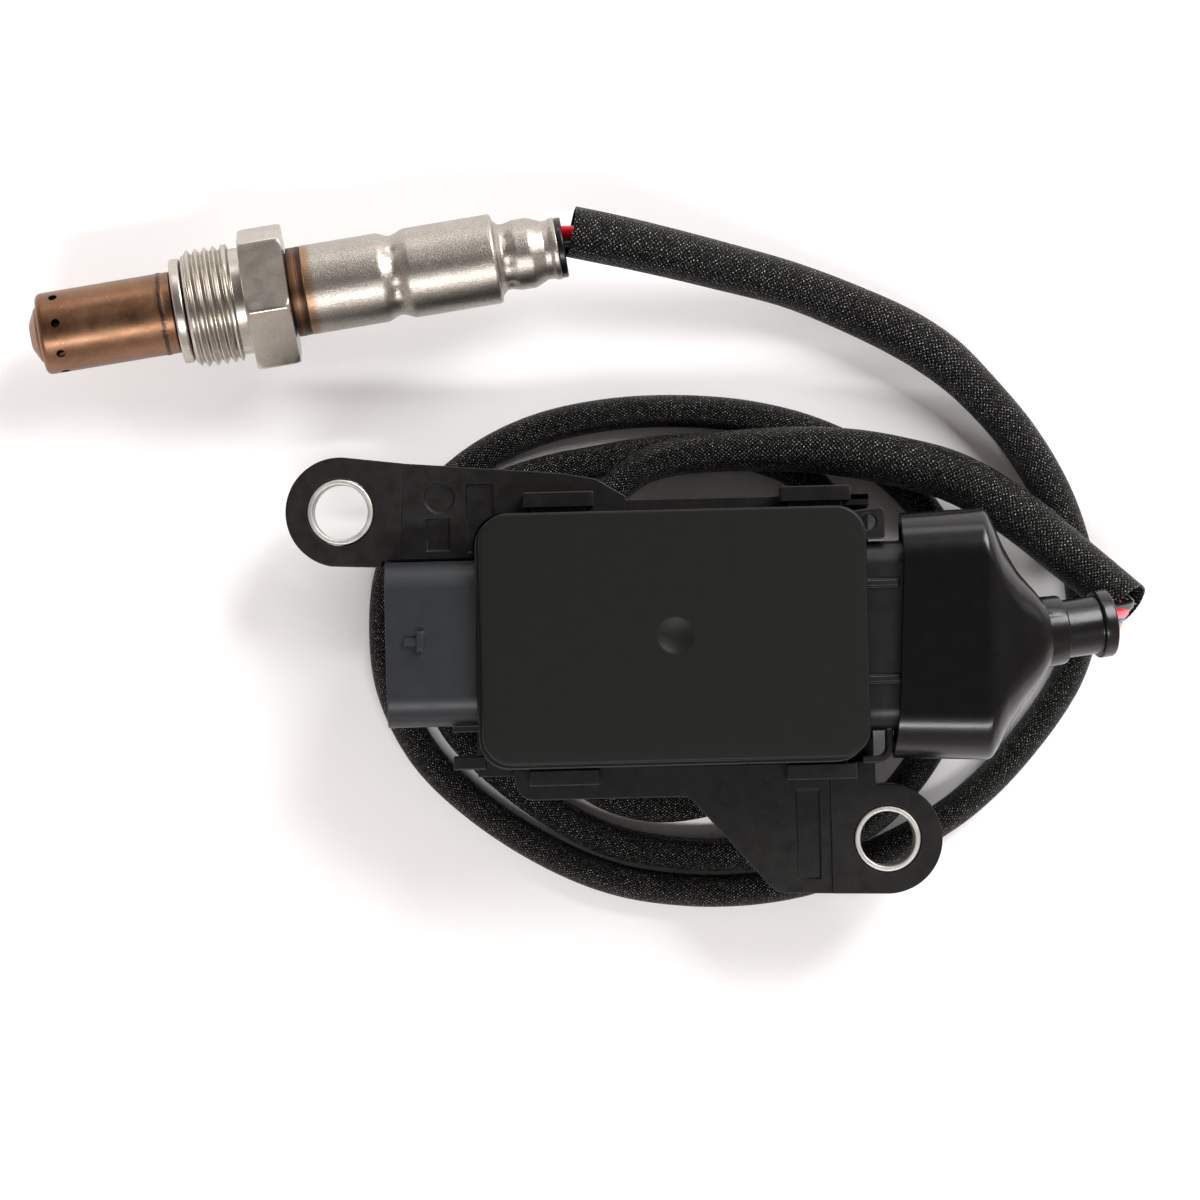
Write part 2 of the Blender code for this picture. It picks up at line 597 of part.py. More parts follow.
def ring_profile(bottom, top, inner, outer, chamfer=0.0):
    """Return the profile of a plain ring whose outer edges may be chamfered."""
    if chamfer <= 0:
        return [(top, inner), (top, outer), (bottom, outer), (bottom, inner)]
    return [(top, inner), (top, outer - chamfer), (top - chamfer, outer),
            (bottom + chamfer, outer), (bottom, outer - chamfer), (bottom, inner)]


def smooth_route(points, count):
    """Return evenly spaced points on one smooth curve through route points.

    Each point is (x, y, z, radius). The curve is a centripetal Catmull-Rom spline.
    """
    places = [Vector(point) for point in points]
    places = [2 * places[0] - places[1], *places, 2 * places[-1] - places[-2]]
    dense = []
    for index in range(1, len(places) - 2):
        p0, p1, p2, p3 = places[index - 1:index + 3]
        t0 = 0.0
        t1 = t0 + math.sqrt((p1 - p0).length)
        t2 = t1 + math.sqrt((p2 - p1).length)
        t3 = t2 + math.sqrt((p3 - p2).length)
        for number in range(24):
            t = t1 + (t2 - t1) * number / 24
            a1 = p0 * ((t1 - t) / (t1 - t0)) + p1 * ((t - t0) / (t1 - t0))
            a2 = p1 * ((t2 - t) / (t2 - t1)) + p2 * ((t - t1) / (t2 - t1))
            a3 = p2 * ((t3 - t) / (t3 - t2)) + p3 * ((t - t2) / (t3 - t2))
            b1 = a1 * ((t2 - t) / (t2 - t0)) + a2 * ((t - t0) / (t2 - t0))
            b2 = a2 * ((t3 - t) / (t3 - t1)) + a3 * ((t - t1) / (t3 - t1))
            dense.append(b1 * ((t2 - t) / (t2 - t1)) + b2 * ((t - t1) / (t2 - t1)))
    dense.append(places[-2])
    travelled = [0.0]
    for before, after in zip(dense, dense[1:]):
        travelled.append(travelled[-1] + (after - before).xyz.length)
    even = []
    place = 0
    for number in range(count):
        goal = travelled[-1] * number / (count - 1)
        while place < len(dense) - 2 and travelled[place + 1] < goal:
            place += 1
        share = (goal - travelled[place]) / (travelled[place + 1] - travelled[place])
        even.append(dense[place].lerp(dense[place + 1], share))
    return even


def cord(points, resolution):
    """Return the mesh of a round cord along (x, y, z, radius) points."""
    curve = bpy.data.curves.new("cord", "CURVE")
    curve.dimensions = "3D"
    curve.bevel_depth = 1.0
    curve.bevel_resolution = resolution
    curve.resolution_u = 1
    curve.use_fill_caps = True
    spline = curve.splines.new("POLY")
    spline.points.add(len(points) - 1)
    for place, point in zip(spline.points, points):
        place.co = (*point[:3], 1)
        place.radius = point[3]
    mesh = mesh_of(curve)
    smooth(mesh, 60)
    return mesh


def outer_protection_tube(probe):
    """Make the perforated tube with its domed nose and weld bead."""
    bead = WELD_BEAD_WIDTH / 2
    outside = [(TUBE_END, TUBE_RADIUS),
               (WELD_BEAD_AT + bead, TUBE_RADIUS),
               (WELD_BEAD_AT + bead / 2, TUBE_RADIUS + WELD_BEAD_HEIGHT),
               (WELD_BEAD_AT - bead / 2, TUBE_RADIUS + WELD_BEAD_HEIGHT),
               (WELD_BEAD_AT - bead, TUBE_RADIUS)]
    corner = TUBE_SHOULDER + TUBE_FILLET
    for angle in (0, 30, 60, 90):
        turn = math.radians(angle)
        outside.append((corner - TUBE_FILLET * math.sin(turn),
                        TUBE_RADIUS - TUBE_FILLET * (1 - math.cos(turn))))
    outside += [(TUBE_SHOULDER, NOSE_RADIUS)]
    dome = NOSE_RADIUS - NOSE_FLAT_RADIUS
    for angle in (30, 60, 90):
        turn = math.radians(angle)
        outside.append((TUBE_SHOULDER * (1 - math.sin(turn)),
                        NOSE_FLAT_RADIUS + dome * math.cos(turn)))
    inside = [(TUBE_WALL, NOSE_FLAT_RADIUS),
              (TUBE_SHOULDER + TUBE_WALL, NOSE_RADIUS - TUBE_WALL / 2),
              (TUBE_SHOULDER + TUBE_WALL, TUBE_RADIUS - TUBE_FILLET),
              (corner, TUBE_RADIUS - TUBE_WALL),
              (TUBE_END, TUBE_RADIUS - TUBE_WALL)]
    profile = [*outside, (0, 0), (TUBE_WALL, 0), *inside]
    mesh = closed_turning(profile, ROUND_STEPS)
    tube = piece("outer_protection_tube", mesh, "heated steel", probe)
    for number in range(GAS_HOLE_COUNT // 2):
        turn = GAS_HOLE_TURN + 2 * math.pi * number / GAS_HOLE_COUNT
        reach = Vector((math.cos(turn), math.sin(turn), 0)) * (TUBE_RADIUS + CUT_MARGIN)
        height = Vector((0, 0, GAS_HOLE_AT))
        cut(tube, rod(GAS_HOLE_DIAMETER / 2, height - reach, height + reach, 10))
    return tube


def closed_turning(profile, steps):
    """Revolve a profile whose first and last points are joined and which meets the axis."""
    start = next(number for number, (_, radius) in enumerate(profile) if radius == 0)
    turned_profile = profile[start + 1:] + profile[:start + 1]
    return turned(turned_profile, steps)


def inner_protection_tube(probe):
    """Make the closed tube round the tip of the element."""
    end = SHELL_STEP_AT - GAP
    radius = INNER_TUBE_RADIUS
    inner = radius - INNER_TUBE_WALL
    front = INNER_TUBE_FRONT
    vent = INNER_TUBE_VENT_DIAMETER / 2
    slope = INNER_TUBE_WALL * 2
    profile = [(end, inner), (end, radius), (front + slope, radius),
               (front, radius - slope), (front, vent),
               (front + INNER_TUBE_WALL, vent),
               (front + INNER_TUBE_WALL, inner - slope), (front + 2 * slope, inner)]
    tube = piece("inner_protection_tube", turned(profile, INNER_STEPS), "heated steel", probe)
    for number in range(INNER_TUBE_HOLE_COUNT // 2):
        turn = 2 * math.pi * (number + 0.5) / INNER_TUBE_HOLE_COUNT
        reach = Vector((math.cos(turn), math.sin(turn), 0)) * (radius + CUT_MARGIN)
        height = Vector((0, 0, INNER_TUBE_HOLE_AT))
        cut(tube, rod(INNER_TUBE_HOLE_DIAMETER / 2, height - reach, height + reach, 8))
    return tube


def sealing_ring(probe):
    """Make the ring that the screw presses on its seat."""
    profile = ring_profile(RING_START, RING_START + RING_WIDTH, SHELL_RADIUS + GAP,
                           RING_RADIUS, RING_CHAMFER)
    return piece("sealing_ring", turned(profile, ROUND_STEPS), "zinc steel", probe)


def sensor_shell(probe):
    """Make the steel body that carries the tubes, the element and the rear sleeve."""
    spigot = TUBE_RADIUS - TUBE_WALL - GAP
    nose = INNER_TUBE_RADIUS - INNER_TUBE_WALL - GAP
    collar_end = COLLAR_START + COLLAR_WIDTH
    profile = [(SHELL_REAR, SHELL_BORE), (SHELL_REAR, SHELL_RADIUS),
               (collar_end, SHELL_RADIUS), (collar_end, COLLAR_RADIUS),
               (COLLAR_START, COLLAR_RADIUS), (COLLAR_START, SHELL_RADIUS),
               (RING_START, SHELL_RADIUS), (RING_START, spigot),
               (SHELL_STEP_AT, spigot), (SHELL_STEP_AT, nose),
               (SHELL_FRONT, nose), (SHELL_FRONT, ELEMENT_BORE),
               (BUSH_SEAT_AT, ELEMENT_BORE), (BUSH_SEAT_AT, SHELL_BORE)]
    return piece("sensor_shell", turned(profile, ROUND_STEPS), "stainless steel", probe)


def gland_nut(probe):
    """Make the captive screw: thread, neck and hexagon with both ends chamfered."""
    hex_end = HEX_START + HEX_HEIGHT
    overlap = HEX_CHAMFER
    hexagon = rod(HEX_CORNER_RADIUS, (0, 0, HEX_START), (0, 0, hex_end), 6,
                  HEX_TURN - math.radians(30))
    nut = piece("gland_nut", hexagon, "zinc steel", probe)
    tip = HEX_CORNER_RADIUS - 2 * HEX_CHAMFER
    slope = HEX_CHAMFER
    chamfers = [(hex_end + GAP, 0), (hex_end + GAP, tip), (hex_end - slope, HEX_CORNER_RADIUS + GAP),
                (HEX_START + slope, HEX_CORNER_RADIUS + GAP), (HEX_START - GAP, tip),
                (HEX_START - GAP, 0)]
    combine(nut, turned(chamfers, ROUND_STEPS * 2), "INTERSECT")
    thread_end = NUT_START + NUT_THREAD_LENGTH
    barrel = [(HEX_START + overlap, 0), (HEX_START + overlap, NUT_NECK_RADIUS),
              (thread_end, NUT_NECK_RADIUS), (thread_end, NUT_THREAD_RADIUS),
              (NUT_START + NUT_THREAD_CHAMFER, NUT_THREAD_RADIUS),
              (NUT_START, NUT_THREAD_RADIUS - NUT_THREAD_CHAMFER), (NUT_START, 0)]
    join(nut, turned(barrel, ROUND_STEPS))
    bore = SHELL_RADIUS + GAP
    cut(nut, rod(bore, (0, 0, NUT_START - CUT_MARGIN), (0, 0, hex_end + CUT_MARGIN),
                 ROUND_STEPS))
    return nut


def element_slot(start, end, width, thickness):
    """Return a box that cuts the element's slot through a bush."""
    return block((-thickness / 2, -width / 2, start - CUT_MARGIN),
                 (thickness / 2, width / 2, end + CUT_MARGIN))


def bushes(probe):
    """Make the two ceramic bushes and the powder seal between them."""
    start = BUSH_SEAT_AT + GAP
    stack = (("front_ceramic_bush", FRONT_BUSH_LENGTH, "ceramic"),
             ("powder_seal", POWDER_LENGTH, "pressed powder"),
             ("rear_ceramic_bush", REAR_BUSH_LENGTH, "ceramic"))
    for name, length, look in stack:
        end = start + length
        profile = [(end, 0), (end, SHELL_BORE - GAP), (start, SHELL_BORE - GAP), (start, 0)]
        bush = piece(name, turned(profile, INNER_STEPS), look, probe)
        cut(bush, element_slot(start, end, ELEMENT_WIDTH + 2 * GAP,
                               ELEMENT_THICKNESS + 2 * GAP))
        start = end + GAP


def sensor_element(probe):
    """Make the flat ceramic element."""
    low = (-ELEMENT_THICKNESS / 2, -ELEMENT_WIDTH / 2, ELEMENT_FRONT)
    high = (ELEMENT_THICKNESS / 2, ELEMENT_WIDTH / 2, ELEMENT_REAR)
    return piece("sensor_element", block(low, high), "ceramic", probe)


def contact_holder(probe):
    """Make the ceramic holder that presses the springs on the element."""
    end = HOLDER_START + HOLDER_LENGTH
    profile = [(end, 0), (end, HOLDER_RADIUS), (HOLDER_START, HOLDER_RADIUS),
               (HOLDER_START, 0)]
    holder = piece("contact_holder", turned(profile, INNER_STEPS), "ceramic", probe)
    width = ELEMENT_WIDTH + 2 * SPRING_RADIUS + 2 * GAP
    thickness = ELEMENT_THICKNESS + 4 * SPRING_RADIUS + 4 * GAP
    cut(holder, element_slot(HOLDER_START, end, width, thickness))
    return holder


def wire_place(number):
    """Return the (x, y) of a wire in the grommet."""
    turn = WIRE_TURN + 2 * math.pi * number / WIRE_COUNT
    return (WIRE_PITCH_RADIUS * math.cos(turn), WIRE_PITCH_RADIUS * math.sin(turn))


def contact_springs(probe):
    """Make the springs from the element's faces to the wires."""
    lift = ELEMENT_THICKNESS / 2 + GAP + SPRING_RADIUS
    seats = ((-lift, -SPRING_PITCH), (lift, -SPRING_PITCH), (lift, SPRING_PITCH),
             (lift, 0.0), (-lift, SPRING_PITCH))
    order = sorted(range(WIRE_COUNT), key=lambda number: wire_place(number)[1])
    chosen = {order[0]: seats[0], order[1]: seats[1], order[2]: seats[3],
              order[3]: seats[2], order[4]: seats[4]}
    for number in range(WIRE_COUNT):
        seat = Vector(chosen[number])
        goal = Vector(wire_place(number))
        points = [(*seat, SPRING_START, SPRING_RADIUS), (*seat, SPRING_BEND_AT, SPRING_RADIUS),
                  (*goal, SPRING_END - 4 * SPRING_RADIUS, SPRING_RADIUS),
                  (*goal, SPRING_END, SPRING_RADIUS)]
        piece(f"contact_spring_{number + 1}", cord(points, 1), "spring metal", probe)


def rear_sleeve(probe):
    """Make the drawn steel sleeve with its crimp, barrels and rolled lip."""
    outside = [(SLEEVE_END, LIP_RADIUS), (SLEEVE_END - SLEEVE_WALL, LIP_RADIUS),
               (LIP_NECK_AT + SLEEVE_WALL, LIP_NECK_RADIUS), (LIP_NECK_AT, LIP_NECK_RADIUS),
               (REAR_END, REAR_RADIUS), (REAR_START + SLEEVE_WALL, REAR_RADIUS)]
    shoulder = BARREL_RADIUS - REAR_RADIUS
    for angle in (90, 60, 30, 0):
        turn = math.radians(angle)
        outside.append((BARREL_END + (REAR_START - BARREL_END) * math.sin(turn),
                        REAR_RADIUS + shoulder * math.cos(turn)))
    crimp_end = CRIMP_AT + CRIMP_HALF_WIDTH
    crimp_start = CRIMP_AT - CRIMP_HALF_WIDTH
    crimp = []
    for number in range(7):
        share = number / 6
        depth = CRIMP_DEPTH * (1 - math.cos(2 * math.pi * share)) / 2
        base = BARREL_RADIUS + (SLEEVE_RADIUS - BARREL_RADIUS) * share
        crimp.append((crimp_end + (crimp_start - crimp_end) * share, base - depth))
    outside += crimp
    outside.append((SLEEVE_START, SLEEVE_RADIUS))
    wall = SLEEVE_WALL
    bottom = CRIMP_DEPTH + CRIMP_DIMPLE_DEPTH + wall
    inside = [(SLEEVE_START, SLEEVE_RADIUS - wall), (crimp_start, SLEEVE_RADIUS - wall),
              (CRIMP_AT, SLEEVE_RADIUS - bottom), (crimp_end, BARREL_RADIUS - wall),
              (BARREL_END, BARREL_RADIUS - wall), (REAR_START - wall, REAR_RADIUS - wall),
              (REAR_END, REAR_RADIUS - wall), (LIP_NECK_AT, LIP_NECK_RADIUS - wall),
              (SLEEVE_END, LIP_NECK_RADIUS - wall)]
    mesh = turned([*outside, *inside], ROUND_STEPS + 4)
    press_dimples(mesh)
    return piece("rear_sleeve", mesh, "stainless steel", probe)


def press_dimples(mesh):
    """Push the outer wall of the sleeve in at the punches round its crimp."""
    wall_middle = SLEEVE_RADIUS - CRIMP_DEPTH - SLEEVE_WALL / 2
    for vertex in mesh.vertices:
        place = vertex.co
        radius = place.xy.length
        off = abs(place.z - CRIMP_AT)
        if off > CRIMP_HALF_WIDTH or radius < wall_middle:
            continue
        turn = math.atan2(place.y, place.x) - CRIMP_DIMPLE_TURN
        pitch = 2 * math.pi / CRIMP_DIMPLE_COUNT
        across = (turn / pitch - round(turn / pitch)) * pitch * radius
        share = math.exp(-(across ** 2 + off ** 2) / CRIMP_DIMPLE_SIZE ** 2)
        place.xy = place.xy * (1 - CRIMP_DIMPLE_DEPTH * share / radius)


def rear_grommet(probe):
    """Make the rubber plug that seals the wires into the sleeve."""
    body = REAR_RADIUS - SLEEVE_WALL - GAP
    neck = LIP_NECK_RADIUS - SLEEVE_WALL - GAP
    face = SLEEVE_END + GAP
    profile = [(GROMMET_END, 0), (GROMMET_END, GROMMET_CAP_RADIUS), (face, GROMMET_CAP_RADIUS),
               (face, neck), (LIP_NECK_AT, neck), (REAR_END, body),
               (GROMMET_START, body), (GROMMET_START, 0)]
    grommet = piece("rear_grommet", turned(profile, ROUND_STEPS - 8), "black rubber", probe)
    for number in range(WIRE_COUNT):
        x, y = wire_place(number)
        cut(grommet, rod(WIRE_DIAMETER / 2 + GAP, (x, y, GROMMET_START - CUT_MARGIN),
                         (x, y, GROMMET_END + CUT_MARGIN), 10))
    return grommet


def bracket(unit):
    """Make the moulded plate with its two ears, the bay of the housing cut into it."""
    outline = [(PLATE_LEFT, FRONT_CORNER[1], 0), FRONT_CORNER, *FRONT_EDGE,
               *arc(RIGHT_EAR, EAR_RADIUS, *RIGHT_EAR_ARC), RIGHT_INNER_EDGE,
               (PLATE_RIGHT, CLIP_BACK + SIDE_WALL, 0), (BACK_EDGE[0][0], CLIP_BACK + SIDE_WALL, 0),
               *BACK_EDGE, *arc(LEFT_EAR, EAR_RADIUS, *LEFT_EAR_ARC), LEFT_EAR_FOOT]
    item = piece("bracket", plate(outline, UNIT_BASE, PAD_TOP), "black plastic", unit)
    bay = [(BAY_RIGHT, CLIP_FRONT, 0), (BAY_RIGHT, CLIP_BACK, 0), (PLATE_LEFT, CLIP_BACK, 0),
           *BAY_CORNERS, (FRONT_CORNER[0], CLIP_FRONT, 0)]
    cut(item, plate(bay, PLATE_TOP, PAD_TOP + CUT_MARGIN))
    return item


def bracket_details(item):
    """Cut the bores, steps, recesses and pockets of the bracket."""
    below = UNIT_BASE - CUT_MARGIN
    above = PAD_TOP + CUT_MARGIN
    cut(item, plate(LEFT_STEP, WING_TOP, above))
    cut(item, plate(RIGHT_STEP, WING_TOP, above))
    for ear in (LEFT_EAR, RIGHT_EAR):
        cut(item, rod(BUSHING_RADIUS + GAP, (*ear, below), (*ear, above), ROUND_STEPS))
    recess = WING_TOP - RECESS_DEPTH
    cut(item, rod(DIAL_RADIUS, (*DIAL_AT, recess), (*DIAL_AT, above), DIAL_STEPS))
    for sides in RECESSES:
        cut(item, plate(rounded_rectangle(*sides, 0), recess, above))
    for outline in POCKETS:
        corners = [(x, y, POCKET_CORNER) for x, y in outline]
        cut(item, plate(corners, below, WING_TOP - WING_SKIN))


def clips(item):
    """Add the four clips that hold the housing, each open towards it, and the arm."""
    top = UNIT_BASE + HOOK_TOP
    inside = WING_TOP - SIDE_WALL
    for side, face in ((1, CLIP_BACK), (-1, CLIP_FRONT)):
        outer = face + side * HOOK_DEPTH
        slot = outer - side * HOOK_WALL
        reach = face - side * CUT_MARGIN
        for middle in HOOK_CENTRES:
            half = HOOK_LENGTH / 2
            join(item, block((middle - half, min(face, outer), inside),
                             (middle + half, max(face, outer), top)))
            half = HOOK_SLOT_LENGTH / 2
            cut(item, block((middle - half, min(reach, slot), top - HOOK_SLOT_DEPTH),
                            (middle + half, max(reach, slot), top + CUT_MARGIN)))
    join(item, plate(ARM_OUTLINE, WING_TOP - ARM_THICKNESS, WING_TOP + GAP))


def bushing(name, place, unit):
    """Make the steel sleeve that takes the bolt through an ear."""
    profile = ring_profile(UNIT_BASE - BUSHING_PROUD, PAD_TOP + BUSHING_PROUD, BUSHING_BORE,
                           BUSHING_RADIUS, BUSHING_CHAMFER)
    mesh = turned(profile, ROUND_STEPS)
    mesh.transform(Matrix.Translation((*place, 0)))
    return piece(name, mesh, "zinc steel", unit)


def rounded_tube(left, right, width, height, corner, centre):
    """Return a bar along X whose section is a rounded rectangle about (centre, MIDDLE)."""
    outline = rounded_rectangle(-width / 2, width / 2, -height / 2, height / 2, corner)
    mesh = plate(outline, left, right)
    mesh.transform(Matrix(((0, 0, 1, 0), (1, 0, 0, centre), (0, 1, 0, MIDDLE), (0, 0, 0, 1))))
    return mesh


def housing(unit):
    """Make the tray with its plug shroud, cable neck, prongs, tab and guard wall."""
    outline = rounded_rectangle(HOUSING_LEFT, HOUSING_RIGHT, HOUSING_FRONT, HOUSING_BACK,
                                HOUSING_CORNER)
    item = piece("housing", plate(outline, HOUSING_BOTTOM, HOUSING_TOP), "grey plastic", unit)
    root = HOUSING_LEFT + HOUSING_WALL / 2
    join(item, rounded_tube(SHROUD_LEFT, root, SHROUD_WIDTH, SHROUD_HEIGHT, SHROUD_CORNER,
                            SHROUD_CENTRE))
    root = HOUSING_RIGHT - HOUSING_WALL / 2
    join(item, rounded_tube(root, NECK_END, NECK_WIDTH, NECK_HEIGHT, NECK_CORNER, NECK_CENTRE))
    join(item, rounded_tube(NECK_END - NECK_FLANGE_LENGTH, NECK_END + GAP, NECK_FLANGE_WIDTH,
                            NECK_FLANGE_HEIGHT, NECK_FLANGE_HEIGHT / 2 - GAP, NECK_CENTRE))
    housing_outworks(item)
    wall = HOUSING_WALL
    cavity = rounded_rectangle(HOUSING_LEFT + wall, HOUSING_RIGHT - wall, HOUSING_FRONT + wall,
                               HOUSING_BACK - wall, HOUSING_CORNER - wall)
    cut(item, plate(cavity, FLOOR_TOP, HOUSING_TOP + CUT_MARGIN))
    wall = SHROUD_WALL
    cut(item, rounded_tube(SHROUD_LEFT - CUT_MARGIN, HOUSING_LEFT - wall / 2,
                           SHROUD_WIDTH - 2 * wall, SHROUD_HEIGHT - 2 * wall,
                           SHROUD_CORNER - wall, SHROUD_CENTRE))
    wall = NECK_WALL
    cut(item, rounded_tube(HOUSING_RIGHT - HOUSING_WALL - CUT_MARGIN, NECK_END + CUT_MARGIN,
                           NECK_WIDTH - 2 * wall, NECK_HEIGHT - 2 * wall, NECK_CORNER - wall,
                           NECK_CENTRE))
    slot = PIN_SIZE / 2 + GAP
    for number in range(PIN_COUNT):
        y = pin_place(number)
        cut(item, block((HOUSING_LEFT - HOUSING_WALL, y - slot, MIDDLE - slot),
                        (HOUSING_LEFT + 2 * HOUSING_WALL, y + slot, MIDDLE + slot)))
    for x, y in board_posts():
        join(item, rod(BOARD_POST_RADIUS, (x, y, FLOOR_TOP - HOUSING_WALL / 2),
                       (x, y, FLOOR_TOP + BOARD_POST_HEIGHT), BOARD_POST_STEPS))
    return item


def board_posts():
    """Return the (x, y) of the four posts under the circuit board."""
    left = HOUSING_LEFT + HOUSING_WALL + BOARD_POST_INSET
    right = HOUSING_RIGHT - HOUSING_WALL - BOARD_POST_INSET
    front = HOUSING_FRONT + HOUSING_WALL + BOARD_POST_INSET
    back = HOUSING_BACK - HOUSING_WALL - BOARD_POST_INSET
    return ((left, front), (right, front), (right, back), (left, back))


def pin_place(number):
    """Return how far across the unit a plug pin lies."""
    return SHROUD_CENTRE + PIN_PITCH * (number - (PIN_COUNT - 1) / 2)


def housing_outworks(item):
    """Add what stands on the outside of the housing."""
    nose_top = UNIT_BASE + HOOK_TOP - NOSE_HEIGHT
    for middle in HOOK_CENTRES:
        half = NOSE_LENGTH / 2
        for side, face, standoff in ((1, HOUSING_BACK, HOOK_STANDOFF - GAP),
                                     (-1, HOUSING_FRONT, 0)):
            inner = face - side * HOUSING_WALL / 2
            outer = face + side * (NOSE_DEPTH + standoff)
            join(item, block((middle - half, min(inner, outer), nose_top - NOSE_HEIGHT),
                             (middle + half, max(inner, outer), nose_top)))
    for front, back in PRONG_SIDES:
        join(item, block((PRONG_LEFT, front, MIDDLE - PRONG_BELOW),
                         (HOUSING_LEFT + PRONG_DEPTH, back, MIDDLE + PRONG_ABOVE)))
    tab_top = HOUSING_TOP - TAB_BELOW_RIM
    join(item, plate(TAB_OUTLINE, tab_top - TAB_THICKNESS, tab_top))
    cut(item, rod(TAB_HOLE_DIAMETER / 2, (*TAB_HOLE_AT, tab_top - TAB_THICKNESS - CUT_MARGIN),
                  (*TAB_HOLE_AT, tab_top + CUT_MARGIN)))
    join(item, plate(GUARD_OUTLINE, WING_TOP + GUARD_CLEARANCE, MIDDLE + PRONG_ABOVE))
    neck_top = MIDDLE + NECK_HEIGHT / 2
    half = NECK_RIB_WIDTH / 2
    for middle in NECK_RIB_PLACES:
        join(item, block((HOUSING_RIGHT - HOUSING_WALL / 4, middle - half,
                          neck_top - NECK_WALL / 2),
                         (NECK_RIB_END, middle + half, neck_top + NECK_RIB_HEIGHT)))
    shroud_top = MIDDLE + SHROUD_HEIGHT / 2
    for left, right, front, back, height in (LATCH_RIB, LATCH_HEAD):
        join(item, block((left, front, shroud_top - SHROUD_WALL / 2),
                         (right, back, shroud_top + height)))


def lid(unit):
    """Make the lid with its rounded edge, its plug and the dimple of its gate."""
    outline = rounded_rectangle(-LID_LENGTH / 2, LID_LENGTH / 2, -LID_WIDTH / 2,
                                LID_WIDTH / 2, LID_CORNER)
    top = LID_BOTTOM + LID_THICKNESS
    item = piece("lid", plate(outline, LID_BOTTOM, top), "black plastic", unit)
    edge = item.modifiers.new("edge", "BEVEL")
    edge.width = LID_EDGE
    edge.segments = 2
    edge.limit_method = "ANGLE"
    edge.angle_limit = LID_EDGE_ANGLE
    wall = HOUSING_WALL + GAP
    plug = rounded_rectangle(HOUSING_LEFT + wall, HOUSING_RIGHT - wall, HOUSING_FRONT + wall,
                             HOUSING_BACK - wall, HOUSING_CORNER - wall)
    join(item, plate(plug, LID_BOTTOM - LID_PLUG, LID_BOTTOM + LID_THICKNESS / 2))
    reach = DIMPLE_DIAMETER / 2
    radius = (reach ** 2 + DIMPLE_DEPTH ** 2) / (2 * DIMPLE_DEPTH)
    bowl = [(top + CUT_MARGIN, 0), (top + CUT_MARGIN, reach)]
    steps = 5
    for number in range(steps):
        share = 1 - number / steps
        depth = math.sqrt(radius ** 2 - (reach * share) ** 2) - (radius - DIMPLE_DEPTH)
        bowl.append((top - depth, reach * share))
    bowl.append((top - DIMPLE_DEPTH, 0))
    mesh = turned(bowl, DIMPLE_STEPS)
    mesh.transform(Matrix.Translation((*DIMPLE_AT, 0)))
    cut(item, mesh)
    return item


def electronics(unit):
    """Make the circuit board and what stands on it."""
    wall = HOUSING_WALL + BOARD_CLEARANCE
    outline = rounded_rectangle(HOUSING_LEFT + wall, HOUSING_RIGHT - wall, HOUSING_FRONT + wall,
                                HOUSING_BACK - wall, HOUSING_CORNER - wall)
    piece("circuit_board", plate(outline, BOARD_BOTTOM, BOARD_TOP), "circuit board", unit)
    seat = BOARD_TOP + GAP
    for name, (x, y), (length, width, height) in CHIPS:
        piece(name, block((x - length / 2, y - width / 2, seat),
                          (x + length / 2, y + width / 2, seat + height)), "chip black", unit)
    for number, (x, y) in enumerate(CAPACITOR_PLACES, 1):
        profile = [(seat + CAPACITOR_HEIGHT, 0), (seat + CAPACITOR_HEIGHT, CAPACITOR_RADIUS),
                   (seat, CAPACITOR_RADIUS), (seat, 0)]
        mesh = turned(profile, INNER_STEPS)
        mesh.transform(Matrix.Translation((x, y, 0)))
        piece(f"capacitor_{number}", mesh, "capacitor can", unit)


def plug_pins(unit):
    """Make the pins that run from the plug socket down to the board."""
    half = PIN_SIZE / 2
    seat = BOARD_TOP + GAP
    outline = [(PIN_TIP, MIDDLE - half, 0), (PIN_BEND - PIN_SIZE, MIDDLE - half, 0),
               (PIN_BEND - PIN_SIZE, seat, 0), (PIN_BEND, seat, 0),
               (PIN_BEND, MIDDLE + half, 0), (PIN_TIP, MIDDLE + half, 0)]
    for number in range(PIN_COUNT):
        mesh = plate(outline, -half, half)
        mesh.transform(Matrix.Rotation(math.radians(90), 4, "X"))
        mesh.transform(Matrix.Translation((0, pin_place(number), 0)))
        piece(f"plug_pin_{number + 1}", mesh, "tinned brass", unit)


def boot_ring(x, y, half_width, half_height, corner, yaw, pitch=0.0, along=0.0):
    """Return one section of the boot as points round a rounded rectangle.

    The section stands at (x, y), leaned by the pitch and moved along its own normal.
    """
    arcs = BOOT_RING_POINTS // 4
    lean = Matrix.Rotation(yaw, 3, "Z") @ Matrix.Rotation(pitch, 3, "Y")
    middle = Vector((x, y, MIDDLE)) + lean @ Vector((along, 0, 0))
    ring = []
    for number in range(BOOT_RING_POINTS):
        quarter, step = divmod(number, arcs)
        turn = math.radians(90) * (quarter + (step + 0.5) / arcs)
        side = (half_width - corner) * (1 if quarter in (0, 3) else -1)
        lift = (half_height - corner) * (1 if quarter in (0, 1) else -1)
        off = Vector((0, side + corner * math.cos(turn), lift + corner * math.sin(turn)))
        ring.append(middle + lean @ off)
    return ring


